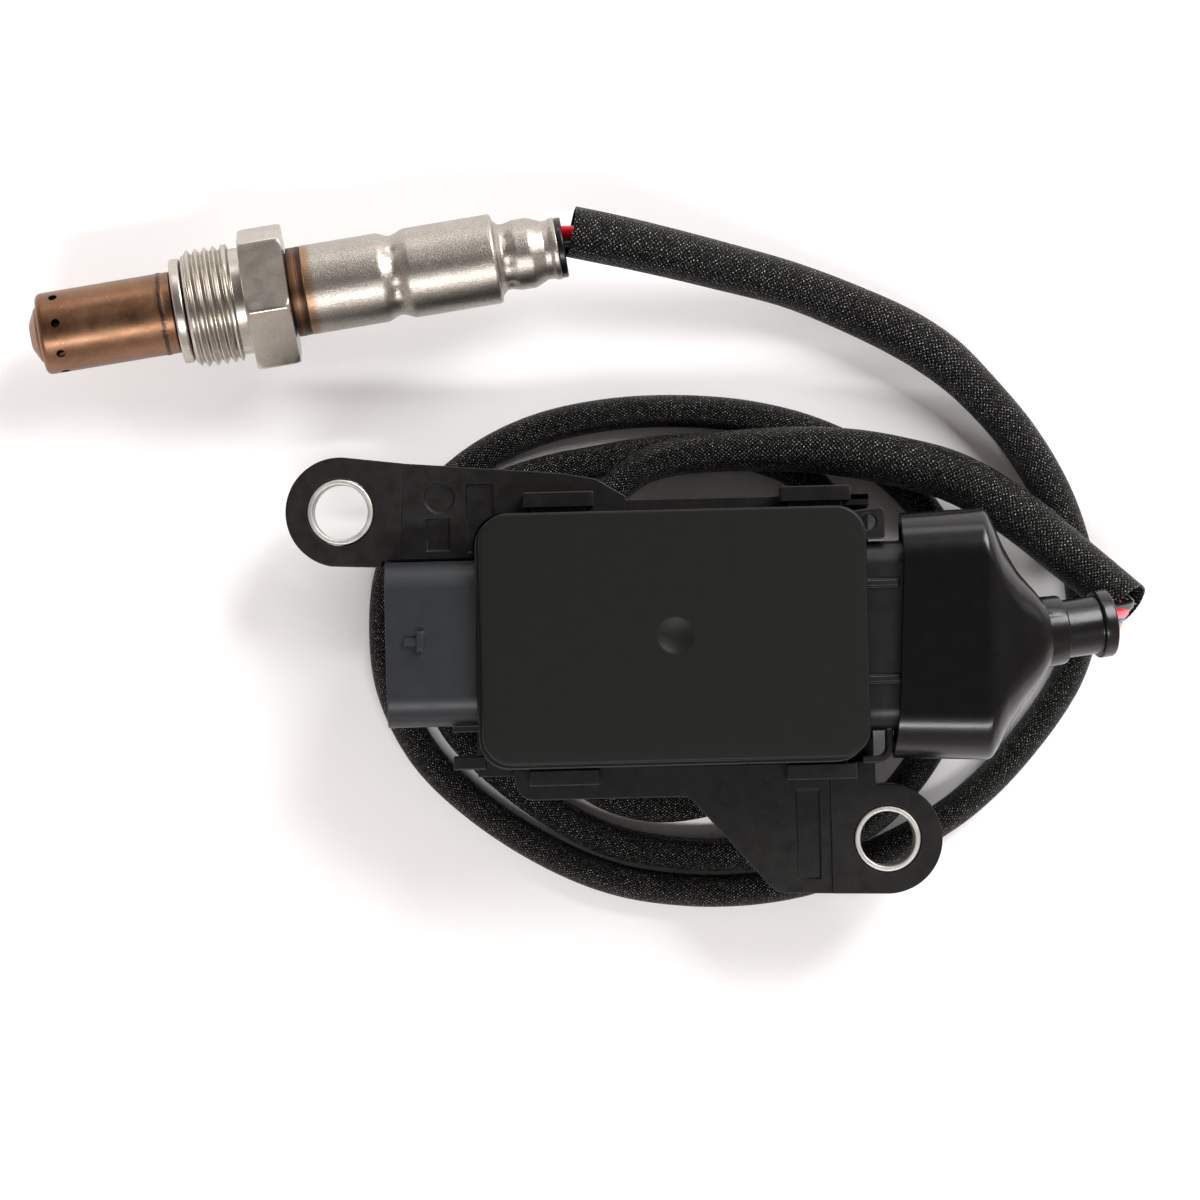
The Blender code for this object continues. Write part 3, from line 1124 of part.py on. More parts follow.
def boot(unit):
    """Make the hollow rubber boot, lofted from a flat oval rim to a round collar."""
    wall = BOOT_WALL
    rings = [boot_ring(*section[:5], math.radians(section[5])) for section in BOOT_SECTIONS]
    bore = TUBE_GROMMET_RADIUS + GAP
    for radius, ends in ((COLLAR_OUTER, (-1, 1)), (bore, (1, -1))):
        for end in ends:
            rings.append(boot_ring(*NOZZLE_AT, radius, radius, radius, NOZZLE_YAW,
                                   NOZZLE_PITCH, end * COLLAR_HALF_LENGTH))
    for number in reversed(range(BOOT_HOLLOW_SECTIONS)):
        x, y, half_width, half_height, corner, yaw = BOOT_SECTIONS[number]
        back = wall / 2 if number >= BOOT_STRAIGHT_SECTIONS else 0
        rings.append(boot_ring(x - back, y, half_width - wall, half_height - wall,
                               corner - wall, math.radians(yaw)))
    mesh = loft(rings)
    smooth(mesh, 40)
    return piece("boot", mesh, "black rubber", unit)


def loft(rings):
    """Return the closed mesh that joins rings of equal count, the last to the first."""
    form = bmesh.new()
    loops = [[form.verts.new(point) for point in ring] for ring in rings]
    count = len(rings[0])
    for before, after in zip(loops, loops[1:] + loops[:1]):
        for number in range(count):
            other = (number + 1) % count
            form.faces.new((before[number], before[other], after[other], after[number]))
    bmesh.ops.recalc_face_normals(form, faces=form.faces)
    mesh = bpy.data.meshes.new("loft")
    form.to_mesh(mesh)
    form.free()
    return mesh


def nozzle_frame(unit):
    """Return the empty that carries the tube grommet, its Z axis along the nozzle."""
    empty = frame("nozzle", unit)
    empty.location = (*NOZZLE_AT, MIDDLE)
    empty.rotation_euler = (0, math.radians(90) + NOZZLE_PITCH, NOZZLE_YAW)
    return empty


def tube_grommet(nozzle):
    """Make the flanged rubber tube in the boot's collar."""
    flange = TUBE_GROMMET_END - TUBE_FLANGE_WIDTH
    profile = [(TUBE_GROMMET_END, TUBE_GROMMET_BORE),
               (TUBE_GROMMET_END, TUBE_FLANGE_RADIUS - GAP),
               (TUBE_GROMMET_END - GAP, TUBE_FLANGE_RADIUS), (flange, TUBE_FLANGE_RADIUS),
               (flange, TUBE_GROMMET_RADIUS), (TUBE_GROMMET_START, TUBE_GROMMET_RADIUS),
               (TUBE_GROMMET_START, TUBE_GROMMET_BORE)]
    return piece("tube_grommet", turned(profile, ROUND_STEPS), "black rubber", nozzle)


def probe_wires(probe, mouth, outward):
    """Make the wires from the springs to the mouth of the sleeve.

    The mouth's centre and outward direction are given in the probe's own frame, and each
    wire stops where it meets the mouth's plane, less a clearance.
    """
    radius = WIRE_DIAMETER / 2
    clearance = GAP + radius * outward.xy.length / abs(outward.z)
    for number in range(WIRE_COUNT):
        x, y = wire_place(number)
        end_x = x * PROBE_WIRE_SPREAD + PROBE_WIRE_LIFT
        end_y = y * PROBE_WIRE_SPREAD - PROBE_WIRE_SHIFT
        off = Vector((end_x - mouth.x, end_y - mouth.y))
        plane = mouth.z - off.dot(outward.xy) / outward.z
        points = [(x, y, WIRE_START, radius), (x, y, GROMMET_END, radius),
                  (end_x, end_y, plane - clearance, radius)]
        piece(f"probe_wire_{number + 1}", cord(points, 2), WIRE_FINISHES[number], probe)


def bundle(route, places, count):
    """Return the paths of wires that keep their (across, up) places along one route."""
    centre = smooth_route([(*point, 0.0) for point in route], count)
    paths = [[] for _ in places]
    up = Vector((0, 0, 1))
    for number, point in enumerate(centre):
        before = centre[max(number - 1, 0)].xyz
        after = centre[min(number + 1, count - 1)].xyz
        along = (after - before).normalized()
        up = (up - along * up.dot(along)).normalized()
        across = up.cross(along)
        for path, (side, lift) in zip(paths, places):
            path.append(point.xyz + across * side + up * lift)
    return paths


def unit_wires(unit):
    """Make the wires from the circuit board through the boot to the sleeve's mouth."""
    radius = WIRE_DIAMETER / 2
    seat = BOARD_TOP + GAP + radius
    places = []
    for number in range(WIRE_COUNT):
        turn = math.radians(90) + 2 * math.pi * number / WIRE_COUNT
        places.append((BUNDLE_PITCH_RADIUS * math.cos(turn), BUNDLE_PITCH_RADIUS * math.sin(turn)))
    route = [(x, y, MIDDLE + height) for x, y, height in UNIT_WIRE_ROUTE]
    for number, path in enumerate(bundle(route, places, UNIT_WIRE_POINTS)):
        pad = NECK_CENTRE + WIRE_PAD_PITCH * (WIRE_PAD_ORDER[number] - (WIRE_COUNT - 1) / 2)
        corners = [Vector((WIRE_PAD_START, pad, seat)), Vector((WIRE_PAD_END, pad, seat)), *path]
        route = smooth_route([(*corner, radius) for corner in corners], UNIT_WIRE_POINTS)
        piece(f"unit_wire_{number + 1}", cord(route, 2), WIRE_FINISHES[number], unit)


def braided_sleeve(whole):
    """Make the braided sleeve that lies coiled under the control unit."""
    route = smooth_route(CABLE_ROUTE, CABLE_POINTS)
    return piece("braided_sleeve", cord(route, 3), "braid", whole)


def main():
    """Build the whole sensor."""
    clear_scene()
    whole = frame("nitrogen oxide sensor")
    probe = frame("probe", whole)
    axis = Vector((math.cos(PROBE_YAW), math.sin(PROBE_YAW), 0))
    up = Vector((0, 0, 1))
    turn = Matrix((up, axis.cross(up), axis)).transposed()
    probe.location = (*PROBE_TIP, HEX_CORNER_RADIUS * math.cos(HEX_TURN))
    probe.rotation_euler = turn.to_euler()
    outer_protection_tube(probe)
    inner_protection_tube(probe)
    sealing_ring(probe)
    sensor_shell(probe)
    gland_nut(probe)
    bushes(probe)
    sensor_element(probe)
    contact_holder(probe)
    contact_springs(probe)
    rear_sleeve(probe)
    rear_grommet(probe)
    first, second = (Vector(point[:3]) for point in CABLE_ROUTE[:2])
    probe_wires(probe, turn.transposed() @ (first - probe.location),
                turn.transposed() @ (first - second).normalized())
    unit = frame("control unit", whole)
    unit.location = (*UNIT_CENTRE, 0)
    unit.rotation_euler = (0, 0, UNIT_YAW)
    plate_item = bracket(unit)
    bracket_details(plate_item)
    clips(plate_item)
    bushing("left_bushing", LEFT_EAR, unit)
    bushing("right_bushing", RIGHT_EAR, unit)
    housing(unit)
    lid(unit)
    electronics(unit)
    plug_pins(unit)
    boot(unit)
    tube_grommet(nozzle_frame(unit))
    unit_wires(unit)
    braided_sleeve(whole)


main()
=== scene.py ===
"""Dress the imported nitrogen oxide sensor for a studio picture.

Each sub-assembly is a class that holds its sizes and makes its own surfaces. Lengths are in
metres and angles in radians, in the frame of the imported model, whose floor is at height zero.
"""

import logging
import math
from dataclasses import dataclass, field
from enum import Enum
from typing import Callable, Sequence

import bmesh
import bpy
import numpy as np
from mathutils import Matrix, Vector


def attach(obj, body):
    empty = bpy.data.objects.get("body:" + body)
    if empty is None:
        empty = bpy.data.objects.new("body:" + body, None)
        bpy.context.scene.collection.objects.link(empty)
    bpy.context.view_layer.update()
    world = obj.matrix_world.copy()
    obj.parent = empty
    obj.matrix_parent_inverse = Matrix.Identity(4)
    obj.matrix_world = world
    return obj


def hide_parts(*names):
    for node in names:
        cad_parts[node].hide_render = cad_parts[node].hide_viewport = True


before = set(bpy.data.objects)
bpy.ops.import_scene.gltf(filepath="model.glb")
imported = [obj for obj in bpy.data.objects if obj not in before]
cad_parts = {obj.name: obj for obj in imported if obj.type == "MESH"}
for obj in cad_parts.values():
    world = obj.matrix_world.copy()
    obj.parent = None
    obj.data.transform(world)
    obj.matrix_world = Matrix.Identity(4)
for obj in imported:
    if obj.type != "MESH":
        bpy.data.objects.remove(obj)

LOG = logging.getLogger("sensor")
MM = 0.001
FULL_TURN = 2 * math.pi
HALF = 0.5
WELD_DISTANCE = 1e-7
SHARP_ANGLE = math.radians(35)
UP = (0.0, 0.0, 1.0)
HEX_HALF = math.radians(30)
# Shared by the bracket, the bushings and the wires: the middles of the two ears, the
# bracket's underside, the bushings' outside and the jackets' radius
EARS = ((-0.0552, 0.0219), (0.0350, -0.0349))
UNDERSIDE = 0.0117
BUSHING_RADIUS = 0.0055
WIRE_RADIUS = 0.00085
ROD_SIDES = 24
Array = np.ndarray
Colour = tuple[float, float, float, float]
Socket = bpy.types.NodeSocket
Corner = tuple[float, float, float]
Box = tuple[float, float, float, float]
Step = tuple[str, bpy.types.Mesh]


class Body(Enum):
    """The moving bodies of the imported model."""

    SENSOR = "sensor"
    SCREW = "screw"


class Jacket(Enum):
    """Colours of the wires' jackets, with the name of each."""

    RED = ("red_wire", "#E0102E")
    ORANGE = ("orange_wire", "#D9771F")
    BLACK = ("black_wire", "#161616")
    BLUE = ("blue_wire", "#1F3F9A")
    WHITE = ("white_wire", "#DAD7CE")


def linear(code: str) -> Colour:
    """Turn an sRGB hex colour to linear light.

    A channel c is c / 12.92 up to 0.04045, and ((c + 0.055) / 1.055) to the power 2.4 above it.

    Args:
        code: The colour as "#RRGGBB".

    Returns:
        Red, green, blue and alpha.
    """
    channels = np.array([int(code[at:at + 2], 16) for at in (1, 3, 5)]) / 255
    toe = channels / 12.92
    curve = ((channels + 0.055) / 1.055) ** 2.4
    red, green, blue = np.where(channels <= 0.04045, toe, curve)
    return (float(red), float(green), float(blue), 1.0)


def add(
    tree: bpy.types.NodeTree,
    kind: str,
    inputs: dict | None = None,
    stops: Sequence[tuple[float, str]] = (),
    **settings: object,
) -> bpy.types.Node:
    """Add a node with its settings and links.

    Args:
        tree: The node tree it goes into.
        kind: The node's type without "ShaderNode".
        inputs: A value, or an output socket to link, for each input by name or number.
        stops: Positions and hex colours of a colour ramp.
        settings: The node's own properties.

    Returns:
        The node.
    """
    node = tree.nodes.new("ShaderNode" + kind)
    for name, value in settings.items():
        setattr(node, name, value)
    for name, value in (inputs or {}).items():
        if isinstance(value, bpy.types.NodeSocket):
            tree.links.new(value, node.inputs[name])
        else:
            node.inputs[name].default_value = value
    for number, (place, code) in enumerate(stops):
        elements = node.color_ramp.elements
        element = elements[number] if number < 2 else elements.new(place)
        element.position = place
        element.color = linear(code)
    return node


def maths(tree: bpy.types.NodeTree, operation: str, *values: Socket | float) -> Socket:
    """Return the result of a Math node."""
    return add(tree, "Math", dict(enumerate(values)), operation=operation).outputs[0]


def remap(tree: bpy.types.NodeTree, value: Socket, old: tuple[float, float] = (0.0, 1.0),
          new: tuple[float, float] = (0.0, 1.0), **settings: str) -> Socket:
    """Return a value carried from an old range to a new one, and kept inside the new one."""
    return add(tree, "MapRange", {"Value": value, "From Min": old[0], "From Max": old[1],
                                  "To Min": new[0], "To Max": new[1]}, **settings).outputs[0]


def blend(tree: bpy.types.NodeTree, share: Socket | float, first: Socket | Colour,
          second: Socket | Colour, **settings: str) -> Socket:
    """Return a mix of two colours."""
    return add(tree, "Mix", {"Factor": share, 6: first, 7: second}, data_type="RGBA",
               **settings).outputs[2]


def surface(tree: bpy.types.NodeTree) -> tuple[Socket, Socket]:
    """Return the two surface coordinates: the share of a turn and the distance along."""
    place = add(tree, "SeparateXYZ", {0: add(tree, "UVMap").outputs[0]})
    return place.outputs[0], place.outputs[1]


@dataclass(frozen=True)
class Finish:
    """What every finish shares: a name, a colour, a gloss and a grain.

    A subclass overrides colour() or relief() where the real surface varies, and colour() also
    where it paints highlights or shade.
    """

    name: str
    code: str
    gloss: float
    metal: float = 0.0
    grain_mm: float = 0.12
    grain_depth_mm: float = 0.01
    mottle: float = 0.25
    coat: float = 0.0
    specular: float = 0.5
    wear: float = 0.15
    cloud_mm: float = 4.0
    patch_mm: float = 2.5

    def material(self) -> bpy.types.Material:
        """Return the finish as a node material, made once."""
        found = bpy.data.materials.get(self.name)
        if found is not None:
            return found
        made = bpy.data.materials.new(self.name)
        made.use_nodes = True
        tree = made.node_tree
        tree.nodes.clear()
        bump = add(tree, "Bump", {"Height": self.relief(tree),
                                  "Distance": self.grain_depth_mm * MM})
        shader = add(tree, "BsdfPrincipled", {
            "Base Color": self.colour(tree), "Roughness": self.roughness(tree),
            "Metallic": self.metal, "Coat Weight": self.coat,
            "Specular IOR Level": self.specular, "Normal": bump.outputs["Normal"]})
        add(tree, "OutputMaterial", {"Surface": shader.outputs["BSDF"]})
        return made

    def noise(self, tree: bpy.types.NodeTree, size_mm: float, detail: float = 2.0) -> Socket:
        """Return noise whose blotches are size_mm wide."""
        node = add(tree, "TexNoise", {"Vector": add(tree, "TexCoord").outputs["Object"],
                                      "Scale": 1 / (size_mm * MM), "Detail": detail})
        return node.outputs["Fac"]

    def colour(self, tree: bpy.types.NodeTree) -> Socket:
        """Return the base colour, a little lighter and darker from place to place."""
        both = maths(tree, "ADD", self.noise(tree, self.cloud_mm),
                     self.noise(tree, self.grain_mm))
        share = remap(tree, both, (0.6, 1.4), (1 - self.mottle, 1 + self.mottle))
        return blend(tree, 1.0, linear(self.code), share, blend_type="MULTIPLY")

    def roughness(self, tree: bpy.types.NodeTree) -> Socket:
        """Return the roughness, which handling has polished and dulled in patches."""
        return remap(tree, self.noise(tree, self.patch_mm, 3.0), (0.3, 0.7),
                     (self.gloss * (1 - self.wear), self.gloss * (1 + self.wear)))

    def relief(self, tree: bpy.types.NodeTree) -> Socket:
        """Return the height of the fine grain."""
        return self.noise(tree, self.grain_mm)


@dataclass(frozen=True)
class HeatedSteel(Finish):
    """Steel that hot gas has coloured bronze, with a thin weld near its root.

    The second surface coordinate is the distance from the tip.
    """

    weld_at: float = 0.0227
    weld_width: float = 0.0007
    weld_wander: float = 0.0003
    weld_code: str = "#4A3A34"
    worn_code: str = "#B8997E"
    shade_code: str = "#684936"

    def colour(self, tree: bpy.types.NodeTree) -> Socket:
        """Return bronze with clouds of shade, pale specks and the weld's grey line."""
        clouds = remap(tree, self.noise(tree, 6.0, 5.0), (0.30, 0.62), (0.35, 1.0))
        base = blend(tree, clouds, linear(self.shade_code), linear(self.code))
        specks = remap(tree, self.noise(tree, 0.30, 3.0), (0.63, 0.74), (0.0, 0.6))
        worn = blend(tree, specks, base, linear(self.worn_code))
        shaky = remap(tree, self.noise(tree, 1.2, 3.0),
                      new=(-self.weld_wander, self.weld_wander))
        there = maths(tree, "ADD", surface(tree)[1], shaky)
        weld = maths(tree, "COMPARE", there, self.weld_at, self.weld_width * HALF)
        return blend(tree, weld, worn, linear(self.weld_code))


@dataclass(frozen=True)
class TintedSteel(Finish):
    """Steel that welding has tinted straw, brown and blue-black in rings.

    The rings follow the second coordinate, the distance from the tip, and a lathe's streaks
    run round with them.
    """

    start: float = 0.0443
    length: float = 0.0034
    streak_mm: float = 0.14
    wander: float = 0.0006
    rings: tuple[tuple[float, str], ...] = (
        (0.0, "#2E221E"), (0.25, "#57402F"), (0.42, "#6E5342"), (0.55, "#4A352B"),
        (0.72, "#2A2422"), (0.86, "#8A6242"), (1.0, "#B8A58C"))

    def colour(self, tree: bpy.types.NodeTree) -> Socket:
        """Return the rings of tint."""
        about, along = surface(tree)
        streak = add(tree, "CombineXYZ", {
            0: about, 1: maths(tree, "MULTIPLY", along, 1 / (self.streak_mm * MM))})
        lines = add(tree, "TexNoise", {"Vector": streak.outputs[0], "Scale": 1.0,
                                       "Detail": 3.0})
        shaky = remap(tree, lines.outputs["Fac"], new=(-self.wander, self.wander))
        share = remap(tree, maths(tree, "ADD", along, shaky),
                      (self.start, self.start + self.length))
        return add(tree, "ValToRGB", {0: share}, self.rings).outputs[0]


@dataclass(frozen=True)
class Sparkling(Finish):
    """Metal with painted sparkle: its colour jumps from facet to facet, standing in for grain that
    catches the light here and there.
    """

    # How far the painted sparkle lightens and darkens the colour, and the size of its facets
    sparkle: float = 0.30
    facet_mm: float = 0.17

    def colour(self, tree: bpy.types.NodeTree) -> Socket:
        """Return the metal's colour times a share that jumps from facet to facet, a painted
        sparkle.
        """
        share = remap(tree, self.noise(tree, self.facet_mm, 3.0), (0.36, 0.64),
                      (1 - self.sparkle, 1 + self.sparkle))
        return blend(tree, 1.0, super().colour(tree), share, blend_type="MULTIPLY")


@dataclass(frozen=True)
class DrawnSteel(Sparkling):
    """Deep-drawn stainless steel, tumbled to a fine sparkling grain."""

    tint_start: float = 0.0476
    tint_length: float = 0.0016
    tint_share: float = 0.85
    tint_code: str = "#8C6A4C"

    def colour(self, tree: bpy.types.NodeTree) -> Socket:
        """Return the steel's grey with a breath of brown next to the weld."""
        near = remap(tree, surface(tree)[1],
                     (self.tint_start, self.tint_start + self.tint_length),
                     (self.tint_share, 0.0), interpolation_type="SMOOTHSTEP")
        return blend(tree, near, super().colour(tree), linear(self.tint_code))


@dataclass(frozen=True)
class Braid(Finish):
    """Woven polyester monofilament, two families of strands that cross at an angle.

    The first coordinate runs once round the sleeve and the second is the distance along it.
    The stitches are drawn at their real size, which the picture just shows.
    """

    stitches_round: float = 32.0
    stitch_mm: float = 0.76
    dip_power: float = 0.35
    # The strands' colour on their crests, fading to the painted shade of the gaps where they dip
    strand_code: str = "#080808"
    # Painted highlights on strands that happen to face the light: their colour, share and
    # narrowness
    painted_glint_code: str = "#DADAD4"
    glint_share: float = 0.44
    glint_limit: float = 0.72
    glint_power: float = 4.0
    glints_per_stitch: float = 4.0

    def lattice(self, tree: bpy.types.NodeTree) -> Socket:
        """Return the height of the strands.

        With p and q the two slanting coordinates, a strand's height is 1 - (2f - 1)^2, where
        f is the fraction of p in cells where floor(p) + floor(q) is even, and of q elsewhere.
        It dips where it passes under the other family.
        """
        about, along = surface(tree)
        about = maths(tree, "MULTIPLY", about, self.stitches_round)
        along = maths(tree, "MULTIPLY", along, 1 / (self.stitch_mm * MM))
        whole, rounded = [], []
        for operation in ("ADD", "SUBTRACT"):
            slant = maths(tree, operation, about, along)
            whole.append(maths(tree, "FLOOR", slant))
            centred = maths(tree, "MULTIPLY_ADD", maths(tree, "FRACT", slant), 2.0, -1.0)
            rounded.append(maths(tree, "SUBTRACT", 1.0, maths(tree, "POWER", centred, 2.0)))
        parity = maths(tree, "PINGPONG", maths(tree, "ADD", *whole), 1.0)
        height, other = (
            add(tree, "Mix", {"Factor": parity, 2: even, 3: odd}, data_type="FLOAT").outputs[0]
            for even, odd in (rounded, rounded[::-1]))
        return maths(tree, "MULTIPLY", height, maths(tree, "POWER", other, self.dip_power))

    def relief(self, tree: bpy.types.NodeTree) -> Socket:
        """Return the strands' height."""
        return self.lattice(tree)

    def colour(self, tree: bpy.types.NodeTree) -> Socket:
        """Return painted shade in the gaps, paler strand crests and scattered painted glints."""
        # Painted shade: the colour darkens with the strands' height, to near black in the gaps and
        # dips
        height = self.lattice(tree)
        worn = remap(tree, self.noise(tree, 3.0, 3.0), (0.3, 0.7), (0.35, 1.0))
        both = blend(tree, maths(tree, "MULTIPLY", height, worn), linear(self.code),
                     linear(self.strand_code))
        # Painted highlights: bright glints on a random share of the strands' crests
        about, along = surface(tree)
        finer = add(tree, "CombineXYZ", {
            0: maths(tree, "MULTIPLY", about, self.glints_per_stitch * self.stitches_round),
            1: maths(tree, "MULTIPLY", along, self.glints_per_stitch / (self.stitch_mm * MM))})
        chance = add(tree, "TexNoise", {"Vector": finer.outputs[0], "Scale": 0.9,
                                        "Detail": 1.0})
        lucky = remap(tree, chance.outputs["Fac"], (1 - self.glint_share, self.glint_limit))
        crest = maths(tree, "POWER", height, self.glint_power)
        return blend(tree, maths(tree, "MULTIPLY", lucky, crest), both,
                     linear(self.painted_glint_code))


@dataclass(frozen=True)
class GreySocketPBT(Finish):
    """PBT of the housing: black, and blue-grey on the plug socket."""

    socket_code: str = "#202326"
    socket_right: float = -0.0160
    socket_front: float = -0.0276

    def colour(self, tree: bpy.types.NodeTree) -> Socket:
        """Return the blue-grey where both the socket's limits hold, and black elsewhere."""
        place = add(tree, "SeparateXYZ", {0: add(tree, "TexCoord").outputs["Object"]})
        left = maths(tree, "LESS_THAN", place.outputs[0], self.socket_right)
        back = maths(tree, "GREATER_THAN", place.outputs[1], self.socket_front)
        return blend(tree, maths(tree, "MULTIPLY", left, back), super().colour(tree),
                     linear(self.socket_code))


@dataclass(frozen=True)
class Nylon(Finish):
    """Glass-filled nylon, whose skin shows scattered pale ends of fibre."""

    fibre_code: str = "#4A4844"
    fibre_mm: float = 0.22

    def colour(self, tree: bpy.types.NodeTree) -> Socket:
        """Return the plastic's colour with its pale specks."""
        specks = remap(tree, self.noise(tree, self.fibre_mm, 1.0), (0.68, 0.80), (0.0, 0.5))
        return blend(tree, specks, super().colour(tree), linear(self.fibre_code))


# Moulded glass-filled nylon: eroded mould grain, satin, warm black
NYLON = Nylon("moulded nylon", "#0C0B0A", 0.46, grain_mm=0.16, grain_depth_mm=0.012, mottle=0.2,
              specular=0.28)
# Moulded PBT of the housing: smoother than the nylon, a cooler dark grey
PBT = GreySocketPBT("moulded PBT", "#0C0D0D", 0.40, grain_mm=0.20, grain_depth_mm=0.008, mottle=0.12,
              specular=0.32, wear=0.08)
# The lid's nylon has the same grain but a finer mould
LID_NYLON = Finish("lid nylon", "#0F0F0E", 0.46, grain_mm=0.18, grain_depth_mm=0.010, mottle=0.03,
                   specular=0.20, wear=0.03)
# Moulded silicone rubber: deep black, with a soft wide gloss
SILICONE = Finish("silicone rubber", "#030303", 0.24, grain_mm=0.5, grain_depth_mm=0.006,
                  mottle=0.1, specular=0.42, wear=0.06)
# The grommets' fluoro rubber is smoother and shows a sharper gloss
FLUORO = Finish("fluoro rubber", "#060606", 0.26, grain_mm=0.6, grain_depth_mm=0.006, mottle=0.1,
                specular=0.40)
# Zinc-nickel plated free-cutting steel, turned and then tumbled
PLATED = Sparkling("plated steel", "#B3ADA4", 0.30, 1.0, 0.20, 0.012, 0.10, sparkle=0.10)
# The bushings are bright zinc plate with a dull grain
ZINC = Sparkling("zinc plate", "#BDBCB7", 0.50, 1.0, 0.20, 0.010, 0.10, sparkle=0.12)
# Stainless steel of the protection tube, which hot gas has tinted bronze
HEATED = HeatedSteel("heat-tinted steel", "#80604A", 0.36, 1.0, 0.18, 0.012, 0.2)
# Stainless steel of the shell, which the weld has tinted in rings
TINTED = TintedSteel("weld-tinted steel", "#8A6242", 0.44, 1.0, 0.10, 0.008, 0.2)
# Deep-drawn stainless steel of the rear sleeve, tumbled bright
DRAWN = DrawnSteel("drawn stainless steel", "#A39D95", 0.32, 1.0, 0.22, 0.060, 0.10, wear=0.06)
# Sintered alumina: matt, off-white
ALUMINA = Finish("alumina", "#E4DFD2", 0.60, grain_mm=0.3)
# Pressed talc powder: chalky and grey
TALC = Finish("pressed talc", "#A8A297", 0.90, grain_mm=0.3, grain_depth_mm=0.03)
# Nickel strip of the contact springs, bright and yellowish
SPRING = Finish("spring nickel", "#CFC8B8", 0.30, 1.0)
# Glass-cloth circuit board under green solder resist
BOARD = Finish("circuit board", "#1E5B33", 0.38, grain_mm=0.6, grain_depth_mm=0.01, coat=0.4)
# Moulded epoxy of the chips, matt black
CHIP = Finish("moulded epoxy", "#1A1A1B", 0.45, grain_mm=0.1)
# Drawn aluminium can of the capacitors
CAN = Finish("capacitor can", "#C8CACC", 0.32, 1.0)
# Tin-plated brass of the plug pins
TIN = Finish("tinned brass", "#D3CBB4", 0.25, 1.0)
# Woven polyester monofilament of the cable's sleeve; its code is the painted shade of the gaps
# between strands
BRAID = Braid("polyester braid", "#010101", 0.36, grain_depth_mm=0.20, specular=0.12)


def jacket(colour: Jacket) -> Finish:
    """Return the finish of a wire's extruded fluoropolymer jacket, smooth and waxy."""
    return Finish(colour.value[0].replace("_", " "), colour.value[1], 0.30, grain_mm=0.8,
                  grain_depth_mm=0.01, mottle=0.12)


def skin(name: str, points: Array, closed: bool = False, along: Array | None = None
         ) -> bpy.types.Mesh:
    """Make a mesh from a grid of points that closes round each row.

    Args:
        name: The mesh's name.
        points: Rows, columns and coordinates.
        closed: Whether the last row joins the first. Otherwise both end rows are poles.
        along: The second surface coordinate of each row, or None for the distance travelled.

    Returns:
        The mesh, its poles merged and its faces outwards. Its surface coordinates are the
        share of a turn round and the distance along.
    """
    rows, columns = points.shape[:2]
    if along is None:
        step = np.linalg.norm(np.diff(points, axis=0, append=points[:1]), axis=2).mean(axis=1)
        along = np.concatenate([[0.0], np.cumsum(step)])
    elif closed:
        along = np.append(along, along[:1])
    row = np.arange(rows if closed else rows - 1)[:, None]
    column = np.arange(columns)[None, :]
    next_row = (row + 1) % rows
    next_column = (column + 1) % columns
    corners = (row * columns + column, row * columns + next_column,
               next_row * columns + next_column, next_row * columns + column)
    faces = np.stack(np.broadcast_arrays(*corners), axis=-1).reshape(-1, 4)
    share = np.stack(np.broadcast_arrays(
        column + 0 * row, column + 1 + 0 * row, column + 1 + 0 * row, column + 0 * row),
        axis=-1) / columns
    height = np.stack(np.broadcast_arrays(
        along[row] + 0 * column, along[row] + 0 * column, along[row + 1] + 0 * column,
        along[row + 1] + 0 * column), axis=-1)
    mesh = bpy.data.meshes.new(name)
    mesh.from_pydata(points.reshape(-1, 3).tolist(), [], faces.tolist())
    layer = mesh.uv_layers.new(name="surface")
    layer.data.foreach_set("uv", np.stack([share, height], axis=-1).astype(np.float32).ravel())
    tidy(mesh)
    return mesh


def tidy(mesh: bpy.types.Mesh, angle: float = SHARP_ANGLE) -> None:
    """Merge doubles, turn the faces outwards and smooth all but the sharp edges."""
    form = bmesh.new()
    form.from_mesh(mesh)
    bmesh.ops.remove_doubles(form, verts=form.verts, dist=WELD_DISTANCE)
    bmesh.ops.recalc_face_normals(form, faces=form.faces)
    form.to_mesh(mesh)
    form.free()
    mesh.shade_smooth()
    mesh.set_sharp_from_angle(angle=angle)


def show(name: str, mesh: bpy.types.Mesh, look: Finish, nodes: Sequence[str],
         body: Body = Body.SENSOR) -> bpy.types.Object:
    """Put a mesh in the scene in place of CAD nodes.

    Args:
        name: The piece's name.
        mesh: Its mesh, in place.
        look: Its finish.
        nodes: The CAD nodes it stands for.
        body: The body it rides on.

    Returns:
        The object.
    """
    item = bpy.data.objects.new(name, mesh)
    bpy.context.scene.collection.objects.link(item)
    mesh.materials.clear()
    mesh.materials.append(look.material())
    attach(item, body.value)
    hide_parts(*nodes)
    LOG.info("%s: %d faces", name, len(mesh.polygons))
    return item


